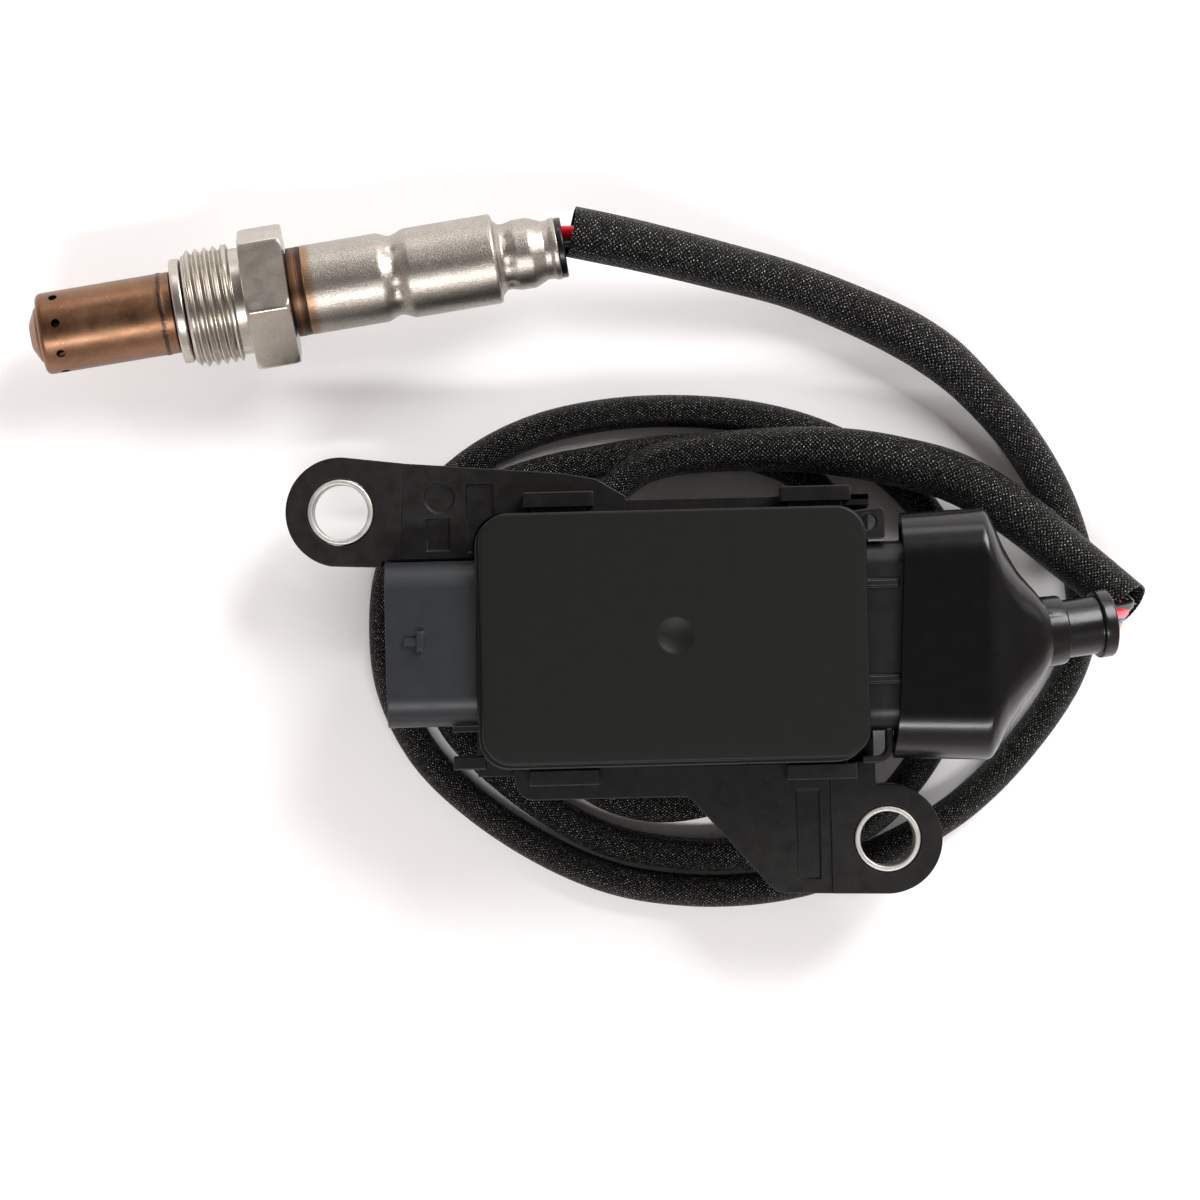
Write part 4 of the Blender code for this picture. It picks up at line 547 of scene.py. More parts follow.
def rounded_profile(corners: Sequence[Corner], steps: int = 6) -> Array:
    """Return the points of a line whose corners are rounded.

    Between unit directions a and b with half angle h, an arc of radius r starts r / tan(h)
    from the corner, and its centre is r / sin(h) away on the bisector.

    Args:
        corners: Two coordinates and the radius of each corner, 0 for a sharp one.
        steps: How many steps an arc has.

    Returns:
        The points, one row each.
    """
    flat = np.array(corners, float)
    points = [flat[0, :2]]
    for before, here, after in zip(flat, flat[1:], flat[2:]):
        back = before[:2] - here[:2]
        on = after[:2] - here[:2]
        lengths = np.linalg.norm(back), np.linalg.norm(on)
        back, on = back / lengths[0], on / lengths[1]
        half = math.acos(np.clip(back @ on, -1, 1)) / 2
        reach = here[2] / math.tan(half) if half > 0.01 else 0.0
        reach = min(reach, 0.49 * min(lengths))
        if here[2] == 0 or reach < WELD_DISTANCE or math.pi / 2 - half < 0.01:
            points.append(here[:2])
            continue
        radius = reach * math.tan(half)
        bisector = (back + on) / np.linalg.norm(back + on)
        centre = here[:2] + bisector * radius / math.sin(half)
        first = here[:2] + back * reach - centre
        last = here[:2] + on * reach - centre
        share = np.linspace(0, 1, steps + 1)[:, None]
        spread = math.acos(np.clip(first @ last / radius ** 2, -1, 1))
        arc = (np.sin((1 - share) * spread) * first + np.sin(share * spread) * last)
        points.extend(centre + arc / math.sin(spread))
    points.append(flat[-1, :2])
    return np.array(points)


def densely(profile: Array, step: float) -> Array:
    """Return a profile with points added so that none are further apart than step."""
    parts = []
    for before, after in zip(profile, profile[1:]):
        count = max(1, math.ceil(np.linalg.norm(after - before) / step))
        parts.append(before + (after - before) * np.arange(count)[:, None] / count)
    return np.concatenate([*parts, profile[-1:]])


def ring(half_width: Array, half_height: Array, corner: Array, count: int) -> Array:
    """Return rounded rectangles, with the same number of points in each quarter.

    A point at angle t is the corner's centre plus the corner's radius times (cos t, sin t).

    Args:
        half_width: Half the width of each section.
        half_height: Half the height of each section.
        corner: The corner's radius of each section.
        count: How many points a section has, a multiple of four.

    Returns:
        Sections, points and two coordinates.
    """
    number = np.arange(count)
    quarter = number // (count // 4)
    turn = math.radians(90) * (quarter + (number % (count // 4)) / (count // 4 - 1))
    side = np.where((quarter == 0) | (quarter == 3), 1.0, -1.0)
    lift = np.where(quarter < 2, 1.0, -1.0)
    width = np.atleast_1d(half_width)[:, None]
    height = np.atleast_1d(half_height)[:, None]
    radius = np.atleast_1d(corner)[:, None]
    across = (width - radius) * side + radius * np.cos(turn)
    up = (height - radius) * lift + radius * np.sin(turn)
    return np.stack([across, up], axis=-1)


def route(points: Array, count: int) -> Array:
    """Return evenly spaced points on one smooth curve through route points.

    The curve is a centripetal Catmull-Rom spline: between two points it is blended from
    straight lines through their neighbours, and the parameter grows with the square root of
    the distance.

    Args:
        points: Route points with any number of coordinates, of which the first are x, y, z.
        count: How many points to return.

    Returns:
        The points, with the same coordinates.
    """
    ends = np.concatenate([[2 * points[0] - points[1]], points, [2 * points[-1] - points[-2]]])
    knots = np.concatenate([[0.0], np.cumsum(np.sqrt(
        np.linalg.norm(np.diff(ends, axis=0), axis=1)))])
    t = np.linspace(0, 1, 24, endpoint=False)[None, :, None]
    p = [ends[at:len(ends) - 3 + at, None, :] for at in range(4)]
    k = [knots[at:len(knots) - 3 + at, None, None] for at in range(4)]
    t = k[1] + (k[2] - k[1]) * t

    def between(first: Array, last: Array, low: Array, high: Array) -> Array:
        """Blend linearly from first at low to last at high."""
        return first * ((high - t) / (high - low)) + last * ((t - low) / (high - low))

    a = [between(p[at], p[at + 1], k[at], k[at + 1]) for at in range(3)]
    b = [between(a[at], a[at + 1], k[at], k[at + 2]) for at in range(2)]
    dense = between(b[0], b[1], k[1], k[2]).reshape(-1, points.shape[1])
    dense = np.concatenate([dense, points[-1:]])
    travelled = np.concatenate([[0.0], np.cumsum(
        np.linalg.norm(np.diff(dense[:, :3], axis=0), axis=1))])
    goal = np.linspace(0, travelled[-1], count)
    return np.stack([np.interp(goal, travelled, column) for column in dense.T], axis=1)


def directions(path: Array, level: Sequence[float] = UP) -> tuple[Array, Array, Array]:
    """Return the unit vectors along, across and up of each point of a path.

    Along is the slope of the path, across is along times the level's normal, and up completes
    them.
    """
    forward = np.gradient(path, axis=0)
    forward /= np.linalg.norm(forward, axis=1, keepdims=True)
    across = np.cross(forward, np.array(level))
    across /= np.linalg.norm(across, axis=1, keepdims=True)
    return forward, across, np.cross(across, forward)


def tube(path: Array, width: Array, height: Array, columns: int,
         level: Sequence[float] = UP) -> Array:
    """Return elliptic rings round a path.

    A ring is the path's point plus width cos t across and height sin t up.
    """
    _, across, up = directions(path, level)
    turn = FULL_TURN * np.arange(columns) / columns
    side = across[:, None, :] * np.cos(turn)[None, :, None] * width[:, None, None]
    rise = up[:, None, :] * np.sin(turn)[None, :, None] * height[:, None, None]
    return path[:, None, :] + side + rise


def capped(rings: Array) -> Array:
    """Return rings with a pole at either end."""
    first = np.broadcast_to(rings[0].mean(axis=0), rings[0].shape)
    last = np.broadcast_to(rings[-1].mean(axis=0), rings[-1].shape)
    return np.concatenate([first[None], rings, last[None]])


def rod(ends: Array, radius: float, level: Sequence[float] = UP) -> bpy.types.Mesh:
    """Return a closed round rod between two points, to cut with."""
    size = np.full(2, radius)
    return skin("rod", capped(tube(ends, size, size, ROD_SIDES, level)))


def arc(centre: tuple[float, float], radius: float, first: float, last: float, steps: int
        ) -> list[Corner]:
    """Return points at a radius round a centre, from one angle to another, as sharp corners."""
    turn = np.radians(np.linspace(first, last, steps + 1))
    points = np.array(centre) + radius * np.stack([np.cos(turn), np.sin(turn)], axis=1)
    return [(float(x), float(y), 0.0) for x, y in points]


def outlined(corners: Sequence[Corner]) -> Array:
    """Return a closed outline with rounded corners, started in the middle of its last side."""
    first, last = np.array(corners[0][:2]), np.array(corners[-1][:2])
    middle = (*((first + last) / 2), 0.0)
    return rounded_profile([middle, *corners, middle])[:-1]


def box(left: float, right: float, front: float, back: float
        ) -> list[Corner]:
    """Return the corners of a rectangle."""
    return [(left, front, 0.0), (right, front, 0.0), (right, back, 0.0), (left, back, 0.0)]


def prism(outline: Array, bottom: float, top: float) -> Array:
    """Return the two rings of points that bound a prism: its foot and its head."""
    return np.stack([np.column_stack([outline, np.full(len(outline), height)])
                     for height in (bottom, top)])


def closed_prism(rings: Array) -> bpy.types.Mesh:
    """Join two rings into a closed body, whose ends are one face each."""
    count = rings.shape[1]
    number = np.arange(count)
    after = (number + 1) % count
    sides = np.stack([number, after, after + count, number + count], axis=1).tolist()
    mesh = bpy.data.meshes.new("prism")
    mesh.from_pydata(rings.reshape(-1, 3).tolist(), [],
                     [number[::-1].tolist(), (number + count).tolist(), *sides])
    tidy(mesh)
    return mesh


def carved(mesh: bpy.types.Mesh, steps: Sequence[Step]
           ) -> bpy.types.Mesh:
    """Join bodies to a body and cut bodies out of it, in order.

    Args:
        mesh: The first body.
        steps: UNION or DIFFERENCE and the other body, for each step.

    Returns:
        The result, under the first body's name.
    """
    item = bpy.data.objects.new("carved", mesh)
    bpy.context.scene.collection.objects.link(item)
    tools = []
    for operation, body in steps:
        tool = bpy.data.objects.new("tool", body)
        bpy.context.scene.collection.objects.link(tool)
        tools.append(tool)
        change = item.modifiers.new("step", "BOOLEAN")
        change.operation = operation
        change.solver = "EXACT"
        change.object = tool
    graph = bpy.context.evaluated_depsgraph_get()
    done = bpy.data.meshes.new_from_object(item.evaluated_get(graph))
    done.name = mesh.name
    for each in (item, *tools):
        bpy.data.objects.remove(each)
    return done


def rounded_edges(item: bpy.types.Object, width: float) -> None:
    """Round an object's sharp edges with a live bevel, and keep its flat faces flat."""
    edge = item.modifiers.new("edge", "BEVEL")
    edge.width = width
    edge.segments = 3
    edge.limit_method = "ANGLE"
    edge.angle_limit = SHARP_ANGLE
    edge.use_clamp_overlap = False
    edge.miter_outer = "MITER_ARC"
    facing = item.modifiers.new("facing", "WEIGHTED_NORMAL")
    facing.mode = "FACE_AREA"
    facing.weight = 100
    facing.keep_sharp = True


def whole_faces(mesh: bpy.types.Mesh) -> None:
    """Merge doubles and make each flat area one face."""
    form = bmesh.new()
    form.from_mesh(mesh)
    bmesh.ops.remove_doubles(form, verts=form.verts, dist=0.000002)
    bmesh.ops.dissolve_limit(form, angle_limit=math.radians(0.6), verts=form.verts,
                             edges=form.edges)
    form.to_mesh(mesh)
    form.free()
    mesh.shade_smooth()
    mesh.set_sharp_from_angle(angle=SHARP_ANGLE)


def bevelled_copy(node: str, name: str, look: Finish, width: float,
                  body: Body = Body.SENSOR) -> bpy.types.Object:
    """Show a copy of a CAD node with its doubles merged and its edges rounded.

    Args:
        node: The CAD node.
        name: The piece's name.
        look: Its finish.
        width: The width of the rounding.
        body: The body it rides on.

    Returns:
        The object, with a live bevel.
    """
    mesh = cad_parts[node].data.copy()
    mesh.name = name
    whole_faces(mesh)
    item = show(name, mesh, look, [node], body)
    rounded_edges(item, width)
    return item


@dataclass
class Studio:
    """The floor, the lights and the camera, which looks straight down."""

    eye: tuple[float, float, float] = (0.00456, -0.00781, 1.1)
    lens_mm: float = 193.7
    sensor_mm: float = 36.0
    floor_size: float = 8.0
    floor_code: str = "#F7F6F6"
    air_code: str = "#FFF3EF"
    # Strength of the air straight above and at the horizon
    air_strength: tuple[float, float] = (0.12, 0.95)
    # The plain view shows colours as the finishes give them, with the floor a clean white
    view: str = "Standard"
    # Place, width, length and power of each soft light, all aimed at the object
    lights: dict[str, tuple[tuple[float, float, float], float, float, float]] = field(
        default_factory=lambda: {
            "window": ((0.75, 0.95, 0.95), 0.8, 0.8, 27.0),
            "strip": ((0.05, -0.68, 1.0), 1.2, 0.12, 10.5),
            "low panel": ((0.1, 1.3, 0.42), 1.4, 0.35, 4.0),
        })

    def camera(self) -> None:
        """Make the camera, its upper edge towards +Y."""
        data = bpy.data.cameras.new("camera")
        data.lens = self.lens_mm
        data.sensor_width = self.sensor_mm
        data.clip_start = 0.01
        item = bpy.data.objects.new("camera", data)
        item.location = self.eye
        bpy.context.scene.collection.objects.link(item)
        bpy.context.scene.camera = item

    def floor(self) -> None:
        """Make the plain pale floor."""
        half = self.floor_size / 2
        mesh = bpy.data.meshes.new("floor")
        mesh.from_pydata([(-half, -half, 0), (half, -half, 0), (half, half, 0),
                          (-half, half, 0)], [], [(0, 1, 2, 3)])
        item = bpy.data.objects.new("floor", mesh)
        bpy.context.scene.collection.objects.link(item)
        paper = Finish("studio paper", self.floor_code, 0.85, grain_mm=2.0,
                       grain_depth_mm=0.002, mottle=0.004)
        mesh.materials.append(paper.material())

    def light(self) -> None:
        """Make the soft lights and the pale air round them."""
        for name, (place, width, length, power) in self.lights.items():
            data = bpy.data.lights.new(name, "AREA")
            data.shape = "RECTANGLE"
            data.size = width
            data.size_y = length
            data.energy = power
            item = bpy.data.objects.new(name, data)
            item.location = place
            item.rotation_mode = "QUATERNION"
            item.rotation_quaternion = Vector(place).to_track_quat("Z", "Y")
            bpy.context.scene.collection.objects.link(item)
        world = bpy.data.worlds.new("studio")
        world.use_nodes = True
        tree = world.node_tree
        tree.nodes.clear()
        above, level = self.air_strength
        height = add(tree, "SeparateXYZ", {0: add(tree, "TexCoord").outputs["Generated"]})
        air = add(tree, "Background", {
            "Color": linear(self.air_code),
            "Strength": remap(tree, height.outputs[2], new=(level, above))})
        add(tree, "OutputWorld", {"Surface": air.outputs[0]})
        bpy.context.scene.world = world

    def build(self) -> None:
        """Make everything of the studio."""
        bpy.context.scene.view_settings.view_transform = self.view
        self.camera()
        self.floor()
        self.light()
        LOG.info("studio: camera, floor and %d lights", len(self.lights))


@dataclass
class Probe:
    """The probe that screws into the exhaust, turned about its own axis."""

    tip: tuple[float, float, float] = (-0.09128, 0.03661, 0.0123559)
    yaw: float = math.radians(9.5)
    gap: float = 0.0003
    # Protection tube
    tube_radius: float = 0.0069
    tube_wall: float = 0.0005
    tube_end: float = 0.0246
    shoulder: float = 0.0017
    fillet: float = 0.0011
    nose_radius: float = 0.0046
    nose_flat: float = 0.0022
    weld_at: float = 0.0227
    weld_width: float = 0.0010
    weld_height: float = 0.00015
    weld_wander: tuple[float, float] = (0.00010, 0.00005)
    weld_ripple: float = 0.25
    hole_count: int = 8
    hole_radius: float = 0.00075
    hole_at: float = 0.0049
    hole_turn: float = math.radians(35.5)
    # How far a drill reaches into the tube and out of it
    drill_reach: tuple[float, float] = (0.002, 0.001)
    # Sealing ring, thread and hexagon
    ring_start: float = 0.0249
    ring_width: float = 0.0018
    ring_radius: float = 0.00885
    shell_radius: float = 0.0067
    thread_radius: float = 0.0100
    thread_length: float = 0.0075
    thread_depth: float = 0.00085
    thread_pitch: float = 0.0015
    thread_chamfer: float = 0.0010
    thread_flat: float = 0.12
    thread_fade: float = 0.0009
    thread_row: float = 0.00007
    thread_steps: int = 360
    neck_radius: float = 0.0090
    neck_length: float = 0.0025
    hex_flats: float = 0.0220
    hex_height: float = 0.0073
    hex_chamfer: float = 0.0009
    hex_turn: float = math.radians(13.4)
    hex_round: float = 0.00018
    # The shell's inside: the front bush's seat, the body's bore and the lathe's marks
    seat_start: float = 0.0175
    spigot_start: float = 0.0195
    body_start: float = 0.0235
    body_end: float = 0.0520
    seat_bore: float = 0.0030
    seat_radius: float = 0.0039
    body_bore: float = 0.0046
    shell_row: float = 0.00016
    feed_marks: tuple[float, float] = (0.00045, 0.0005)
    mark_depth: float = 0.00003
    # Collar, rear sleeve and grommet
    collar_width: float = 0.0020
    sleeve_radius: float = 0.00755
    sleeve_wall: float = 0.0005
    crimp_at: float = 0.0623
    crimp_half: float = 0.0027
    crimp_depth: float = 0.0007
    dimple_count: int = 6
    dimple_depth: float = 0.00035
    dimple_size: float = 0.0012
    dimple_turn: float = math.radians(27.0)
    # The shoulder's dimples: how far behind its edge, their count, turn, depth and size
    rear_dimples: tuple[float, int, float, float, float] = (
        0.0011, 8, math.radians(15), 0.00022, 0.0009)
    barrel_radius: float = 0.0076
    barrel_end: float = 0.0780
    rear_radius: float = 0.00595
    rear_start: float = 0.0803
    rear_end: float = 0.0860
    lip_neck_radius: float = 0.00495
    lip_neck_at: float = 0.0882
    lip_radius: float = 0.00525
    sleeve_end: float = 0.0900
    # Bends of the rear sleeve, (along, off the radius, radius of the bend): past the barrel's
    # end, behind the rear barrel's start, before its end, and about the lip's neck and edge
    barrel_bend: Corner = (0.0015, 0.0, 0.0013)
    shoulder_bends: tuple[Corner, ...] = (
        (-0.0006, 0.0005, 0.0004), (0.0002, -0.00035, 0.0008), (0.0012, -0.00035, 0.0012),
        (0.0026, 0.0, 0.0020))
    rear_bend: Corner = (-0.0006, 0.0, 0.0020)
    neck_bends: tuple[Corner, ...] = ((-0.0005, 0.0, 0.0008), (0.0004, 0.0, 0.0004))
    lip_bends: tuple[Corner, ...] = ((-0.0007, 0.0, 0.0004), (0.0, 0.0, 0.0002))
    grommet_start: float = 0.0812
    grommet_end: float = 0.0911
    grommet_cap: float = 0.0051
    wire_radius: float = WIRE_RADIUS
    grommet_body: float = 0.0044
    # Where each wire leaves the grommet, towards +Y and up
    wire_exits: tuple[tuple[float, float], ...] = (
        (0.00275, 0.0005), (0.00145, -0.00065), (0.0003, 0.0009), (-0.0003, -0.0013),
        (0.0013, -0.0024))

    def __post_init__(self) -> None:
        """Work out the directions and the places that follow from the sizes."""
        self.axis = np.array([math.cos(self.yaw), math.sin(self.yaw), 0.0])
        self.up = np.array([0.0, 0.0, 1.0])
        self.side = np.cross(self.axis, self.up)
        self.nut_start = self.ring_start + self.ring_width + self.gap
        self.hex_start = self.nut_start + self.thread_length + self.neck_length
        self.collar_start = self.hex_start + self.hex_height + self.gap
        self.sleeve_start = self.collar_start + self.collar_width + self.gap

    def place(self, along: Array, radius: Array, turn: Array) -> Array:
        """Return points at a distance along the axis, a radius and a turn from straight up."""
        along, radius, turn = np.broadcast_arrays(along, radius, turn)
        off = np.cos(turn)[..., None] * self.up + np.sin(turn)[..., None] * self.side
        return np.array(self.tip) + along[..., None] * self.axis + radius[..., None] * off

    def revolve(self, name: str, profile: Array, closed: bool,
                relief: Callable[[Array, Array, Array], Array] | None = None,
                steps: int = 160) -> bpy.types.Mesh:
        """Turn a profile about the axis.

        Args:
            name: The mesh's name.
            profile: Distance along the axis and radius of each point.
            closed: Whether the profile's end joins its start, away from the axis.
            relief: Returns the radius from the distance along, the radius and the turn.
            steps: How many steps a full turn has.

        Returns:
            The mesh, whose second surface coordinate is the distance along the axis.
        """
        turn = FULL_TURN * np.arange(steps)[None, :] / steps
        along = profile[:, :1]
        radius = profile[:, 1:2] + 0 * turn
        if relief is not None:
            radius = relief(along, radius, turn)
        return skin(name, self.place(along, radius, turn), closed, profile[:, 0])

    def protection_tube(self) -> None:
        """Make the tube with its stepped nose, its weld and its gas holes."""
        inner = self.tube_radius - self.tube_wall
        start = self.shoulder
        outline = rounded_profile([
            (0.0, 0.0, 0), (0.0, self.nose_flat, 0.0012), (start * 0.72, self.nose_radius, 0.0007),
            (start, self.nose_radius + 0.0003, 0.0004), (start, self.tube_radius, self.fillet),
            (self.tube_end, self.tube_radius, 0.00012), (self.tube_end, inner, 0.00012),
            (start + self.fillet, inner, 0.0006),
            (start + self.tube_wall, self.nose_radius, 0.0004),
            (self.tube_wall, self.nose_flat, 0.0006), (self.tube_wall, 0.0, 0)])
        profile = densely(outline, 0.0003)

        def weld(along: Array, radius: Array, turn: Array) -> Array:
            """Raise a bead: its height falls as a bell curve and ripples round the tube."""
            wide, narrow = self.weld_wander
            wander = wide * np.sin(3 * turn) + narrow * np.sin(11 * turn)
            ripple = (1 - self.weld_ripple
                      + self.weld_ripple * np.sin(57 * turn + 2 * np.sin(5 * turn)))
            off = (along - self.weld_at - wander) / (self.weld_width * HALF)
            outside = radius > self.tube_radius - self.tube_wall * HALF
            return radius + outside * self.weld_height * ripple * np.exp(-2 * off ** 2)

        mesh = carved(self.revolve("outer_protection_tube", profile, False, weld),
                      self.drills())
        mesh.set_sharp_from_angle(angle=SHARP_ANGLE)
        show("protection_tube", mesh, HEATED, ["outer_protection_tube"])

    def drills(self) -> list[Step]:
        """Return the steps that cut the gas holes, a rod through the wall for each."""
        inside, outside = self.drill_reach
        radii = np.array([self.tube_radius - inside, self.tube_radius + outside])
        turns = self.hole_turn + FULL_TURN * np.arange(self.hole_count) / self.hole_count
        return [("DIFFERENCE", rod(self.place(np.array(self.hole_at), radii, np.array(turn)),
                                   self.hole_radius, self.axis)) for turn in turns]

    def sealing_ring(self) -> None:
        """Make the flat ring with rounded edges."""
        start, end = self.ring_start, self.ring_start + self.ring_width
        bore, rim = self.shell_radius + self.gap, self.ring_radius
        middle = (start + end) / 2
        profile = rounded_profile([
            (middle, bore, 0), (start, bore, 0.0002), (start, rim, 0.00045),
            (end, rim, 0.00045), (end, bore, 0.0002), (middle, bore, 0)])[:-1]
        mesh = self.revolve("sealing_ring", profile, True)
        show("seal_ring", mesh, PLATED, ["sealing_ring"])

    def nut_radius(self, along: Array, radius: Array, turn: Array) -> Array:
        """Return the outside of the screw: hexagon, neck and helical thread.

        The hexagon is the soft minimum of six planes d / cos(turn - a) and of the chamfer
        cones. The thread is a rounded V wave of the phase along / pitch - turn / full turn.
        """
        along, turn = np.broadcast_arrays(along, turn)
        outside = radius > self.shell_radius + 2 * self.gap
        hex_end = self.hex_start + self.hex_height
        half = self.hex_flats / 2
        corner = half / math.cos(HEX_HALF)
        faces = self.hex_turn - HEX_HALF + 2 * HEX_HALF * np.arange(6)
        facing = np.cos(turn[..., None] - faces)
        ahead = 0.2
        planes = np.where(facing > ahead, half / np.maximum(facing, ahead), 1.0)
        from_end = np.minimum(along - self.hex_start, hex_end - along)
        cone = (corner - self.hex_chamfer * HALF) + from_end / math.tan(HEX_HALF) * HALF
        limits = np.concatenate([planes, cone[..., None]], axis=-1)
        soft = self.hex_round
        lowest = limits.min(axis=-1)
        total = np.exp(-(limits - lowest[..., None]) / soft).sum(axis=-1)
        hexagon = lowest - soft * np.log(total)
        phase = along / self.thread_pitch - turn / FULL_TURN
        wave = np.abs(2 * (phase - np.floor(phase)) - 1)
        wave = np.clip((wave - self.thread_flat) / (1 - 2 * self.thread_flat), 0, 1)
        thread_end = self.nut_start + self.thread_length
        fade = np.clip((thread_end + self.gap - along) / self.thread_fade, 0, 1)
        groove = self.thread_depth * (1 - wave) * fade
        lead = np.clip(self.nut_start + self.thread_chamfer - along, 0, None)
        thread = self.thread_radius - np.maximum(groove, lead)
        shaped = np.where(along > self.hex_start - WELD_DISTANCE,
                          np.minimum(radius, hexagon), np.minimum(radius, thread))
        return np.where(outside, shaped, radius)

    def gland_nut(self) -> None:
        """Make the captive screw with its thread, neck and hexagon."""
        bore = self.shell_radius + self.gap
        hex_end = self.hex_start + self.hex_height
        corner = self.hex_flats / 2 / math.cos(HEX_HALF)
        thread_end = self.nut_start + self.thread_length
        outline = np.array([
            (self.nut_start, bore), (self.nut_start, self.thread_radius),
            (thread_end + 0.0003, self.thread_radius), (thread_end + 0.0006, self.neck_radius),
            (self.hex_start - 0.0002, self.neck_radius),
            (self.hex_start, self.neck_radius + 0.0002), (self.hex_start, corner),
            (hex_end, corner), (hex_end, bore)])
        fine = densely(outline[:3], self.thread_row)
        coarse = densely(outline[2:-1], 2 * self.thread_row)
        inside = densely(np.array([outline[-2], outline[-1], outline[0]]), 0.0015)[:-1]
        profile = np.concatenate([fine[:-1], coarse[:-1], inside])
        mesh = self.revolve("gland_nut", profile, True, self.nut_radius, self.thread_steps)
        tidy(mesh, math.radians(75))
        show("screw", mesh, PLATED, ["gland_nut"], Body.SCREW)

    def shell(self) -> None:
        """Make the part of the shell that shows, and the body that it hides."""
        spigot = self.tube_radius - self.tube_wall - self.gap
        profile = densely(rounded_profile([
            (self.body_start, self.body_bore, 0), (self.body_end, self.body_bore, 0),
            (self.body_end, self.shell_radius, 0.0003),
            (self.sleeve_start, self.shell_radius, 0.0002),
            (self.sleeve_start, self.sleeve_radius, 0.00005),
            (self.collar_start, self.sleeve_radius, 0.0002),
            (self.collar_start, self.shell_radius, 0),
            (self.ring_start, self.shell_radius, 0.0002), (self.ring_start, spigot, 0.0001),
            (self.spigot_start, spigot, 0), (self.spigot_start, self.seat_radius, 0),
            (self.seat_start, self.seat_radius, 0), (self.seat_start, self.seat_bore, 0),
            (self.body_start, self.seat_bore, 0), (self.body_start, self.body_bore, 0)]),
            self.shell_row)[:-1]

        def ripples(along: Array, radius: Array, turn: Array) -> Array:
            """Groove the collar as a lathe leaves it, two waves of different pitch."""
            there = (along > self.collar_start) & (radius > self.shell_radius + self.gap)
            fine, slow = self.feed_marks
            wave = np.sin(along / fine * FULL_TURN) + np.sin(3 * turn + along / slow)
            return radius + there * self.mark_depth * (wave - 1)

        mesh = self.revolve("sensor_shell", profile, True, ripples)
        show("shell", mesh, TINTED, ["sensor_shell"])

    def sleeve_relief(self, along: Array, radius: Array, turn: Array) -> Array:
        """Press the dimples of the crimps into the sleeve.

        A dimple is a bell curve of the distance from its punch, along and round.
        """
        outside = radius > self.lip_neck_radius - self.sleeve_wall * 0.2
        pressed = np.zeros_like(radius)
        behind, *rear = self.rear_dimples
        for at, count, start, depth, size in (
                (self.crimp_at, self.dimple_count, self.dimple_turn, self.dimple_depth,
                 self.dimple_size),
                (self.rear_start + behind, *rear)):
            pitch = FULL_TURN / count
            off = (turn - start) / pitch
            across = (off - np.round(off)) * pitch * radius
            share = np.exp(-(across ** 2 + (along - at) ** 2) / size ** 2)
            pressed += depth * share
        return radius - outside * pressed

    def rear_sleeve(self) -> None:
        """Make the drawn sleeve: two barrels with a crimp between them, shoulder and lip."""
        wall = self.sleeve_wall
        share = np.linspace(0, 1, 25)
        crimp = np.stack([
            self.crimp_at + self.crimp_half * (2 * share - 1),
            self.sleeve_radius + (self.barrel_radius - self.sleeve_radius) * share
            - self.crimp_depth * (1 - np.cos(FULL_TURN * share)) / 2], axis=1)
        front = rounded_profile([(self.sleeve_start, self.sleeve_radius - wall, 0),
                                 (self.sleeve_start, self.sleeve_radius, 0.0003),
                                 (crimp[0, 0], crimp[0, 1], 0)])
        rear = rounded_profile([
            (crimp[-1, 0], crimp[-1, 1], 0),
            *[(start + along, radius + off, bend) for start, radius, bends in (
                (self.barrel_end, self.barrel_radius, [self.barrel_bend]),
                (self.rear_start, self.rear_radius, self.shoulder_bends),
                (self.rear_end, self.rear_radius, [self.rear_bend]),
                (self.lip_neck_at, self.lip_neck_radius, self.neck_bends),
                (self.sleeve_end, self.lip_radius, self.lip_bends))
              for along, off, bend in bends],
            (self.sleeve_end, self.lip_neck_radius - wall, 0.0001),
            (self.lip_neck_at, self.lip_neck_radius - wall, 0),
            (self.rear_end, self.rear_radius - wall - 0.0002, 0.0005),
            (self.rear_start - wall, self.rear_radius - wall - 0.0004, 0.0005),
            (self.barrel_end, self.barrel_radius - wall, 0.0005),
            (crimp[-1, 0], self.barrel_radius - wall, 0),
            (self.crimp_at, self.sleeve_radius - self.crimp_depth - self.dimple_depth - wall, 0),
            (crimp[0, 0], self.sleeve_radius - wall, 0),
            (self.sleeve_start, self.sleeve_radius - wall, 0)])
        profile = densely(np.concatenate([front[:-1], crimp, rear[1:-1]]), 0.0004)
        mesh = self.revolve("rear_sleeve", profile, True, self.sleeve_relief)
        show("sleeve", mesh, DRAWN, ["rear_sleeve"])

    def exits(self, along: float) -> Array:
        """Return the point of each wire at a distance along the axis."""
        across, up = np.array(self.wire_exits).T[:, :, None]
        return np.array(self.tip) + along * self.axis - across * self.side + up * self.up

    def rear_grommet(self) -> None:
        """Make the grommet: a body in the sleeve, a cap over its lip and the wires' bores."""
        face = self.sleeve_end
        profile = densely(rounded_profile([
            (self.grommet_start, 0, 0), (self.grommet_start, self.grommet_body, 0.0003),
            (face, self.grommet_body, 0), (face, self.grommet_cap, 0.0002),
            (self.grommet_end, self.grommet_cap, 0.0003), (self.grommet_end, 0, 0)]), 0.0004)
        steps = [("DIFFERENCE", rod(np.array(ends), self.wire_radius + self.gap / 3))
                 for ends in zip(self.exits(self.grommet_start - MM),
                                 self.exits(self.grommet_end + MM))]
        mesh = carved(self.revolve("rear_grommet", profile, False), steps)
        show("grommet", mesh, FLUORO, ["rear_grommet"])

    def build(self) -> None:
        """Make the pieces of the probe that show."""
        self.protection_tube()
        self.sealing_ring()
        self.gland_nut()
        self.shell()
        self.rear_sleeve()
        self.rear_grommet()
        LOG.info("probe: %.1f mm long", self.grommet_end / MM)


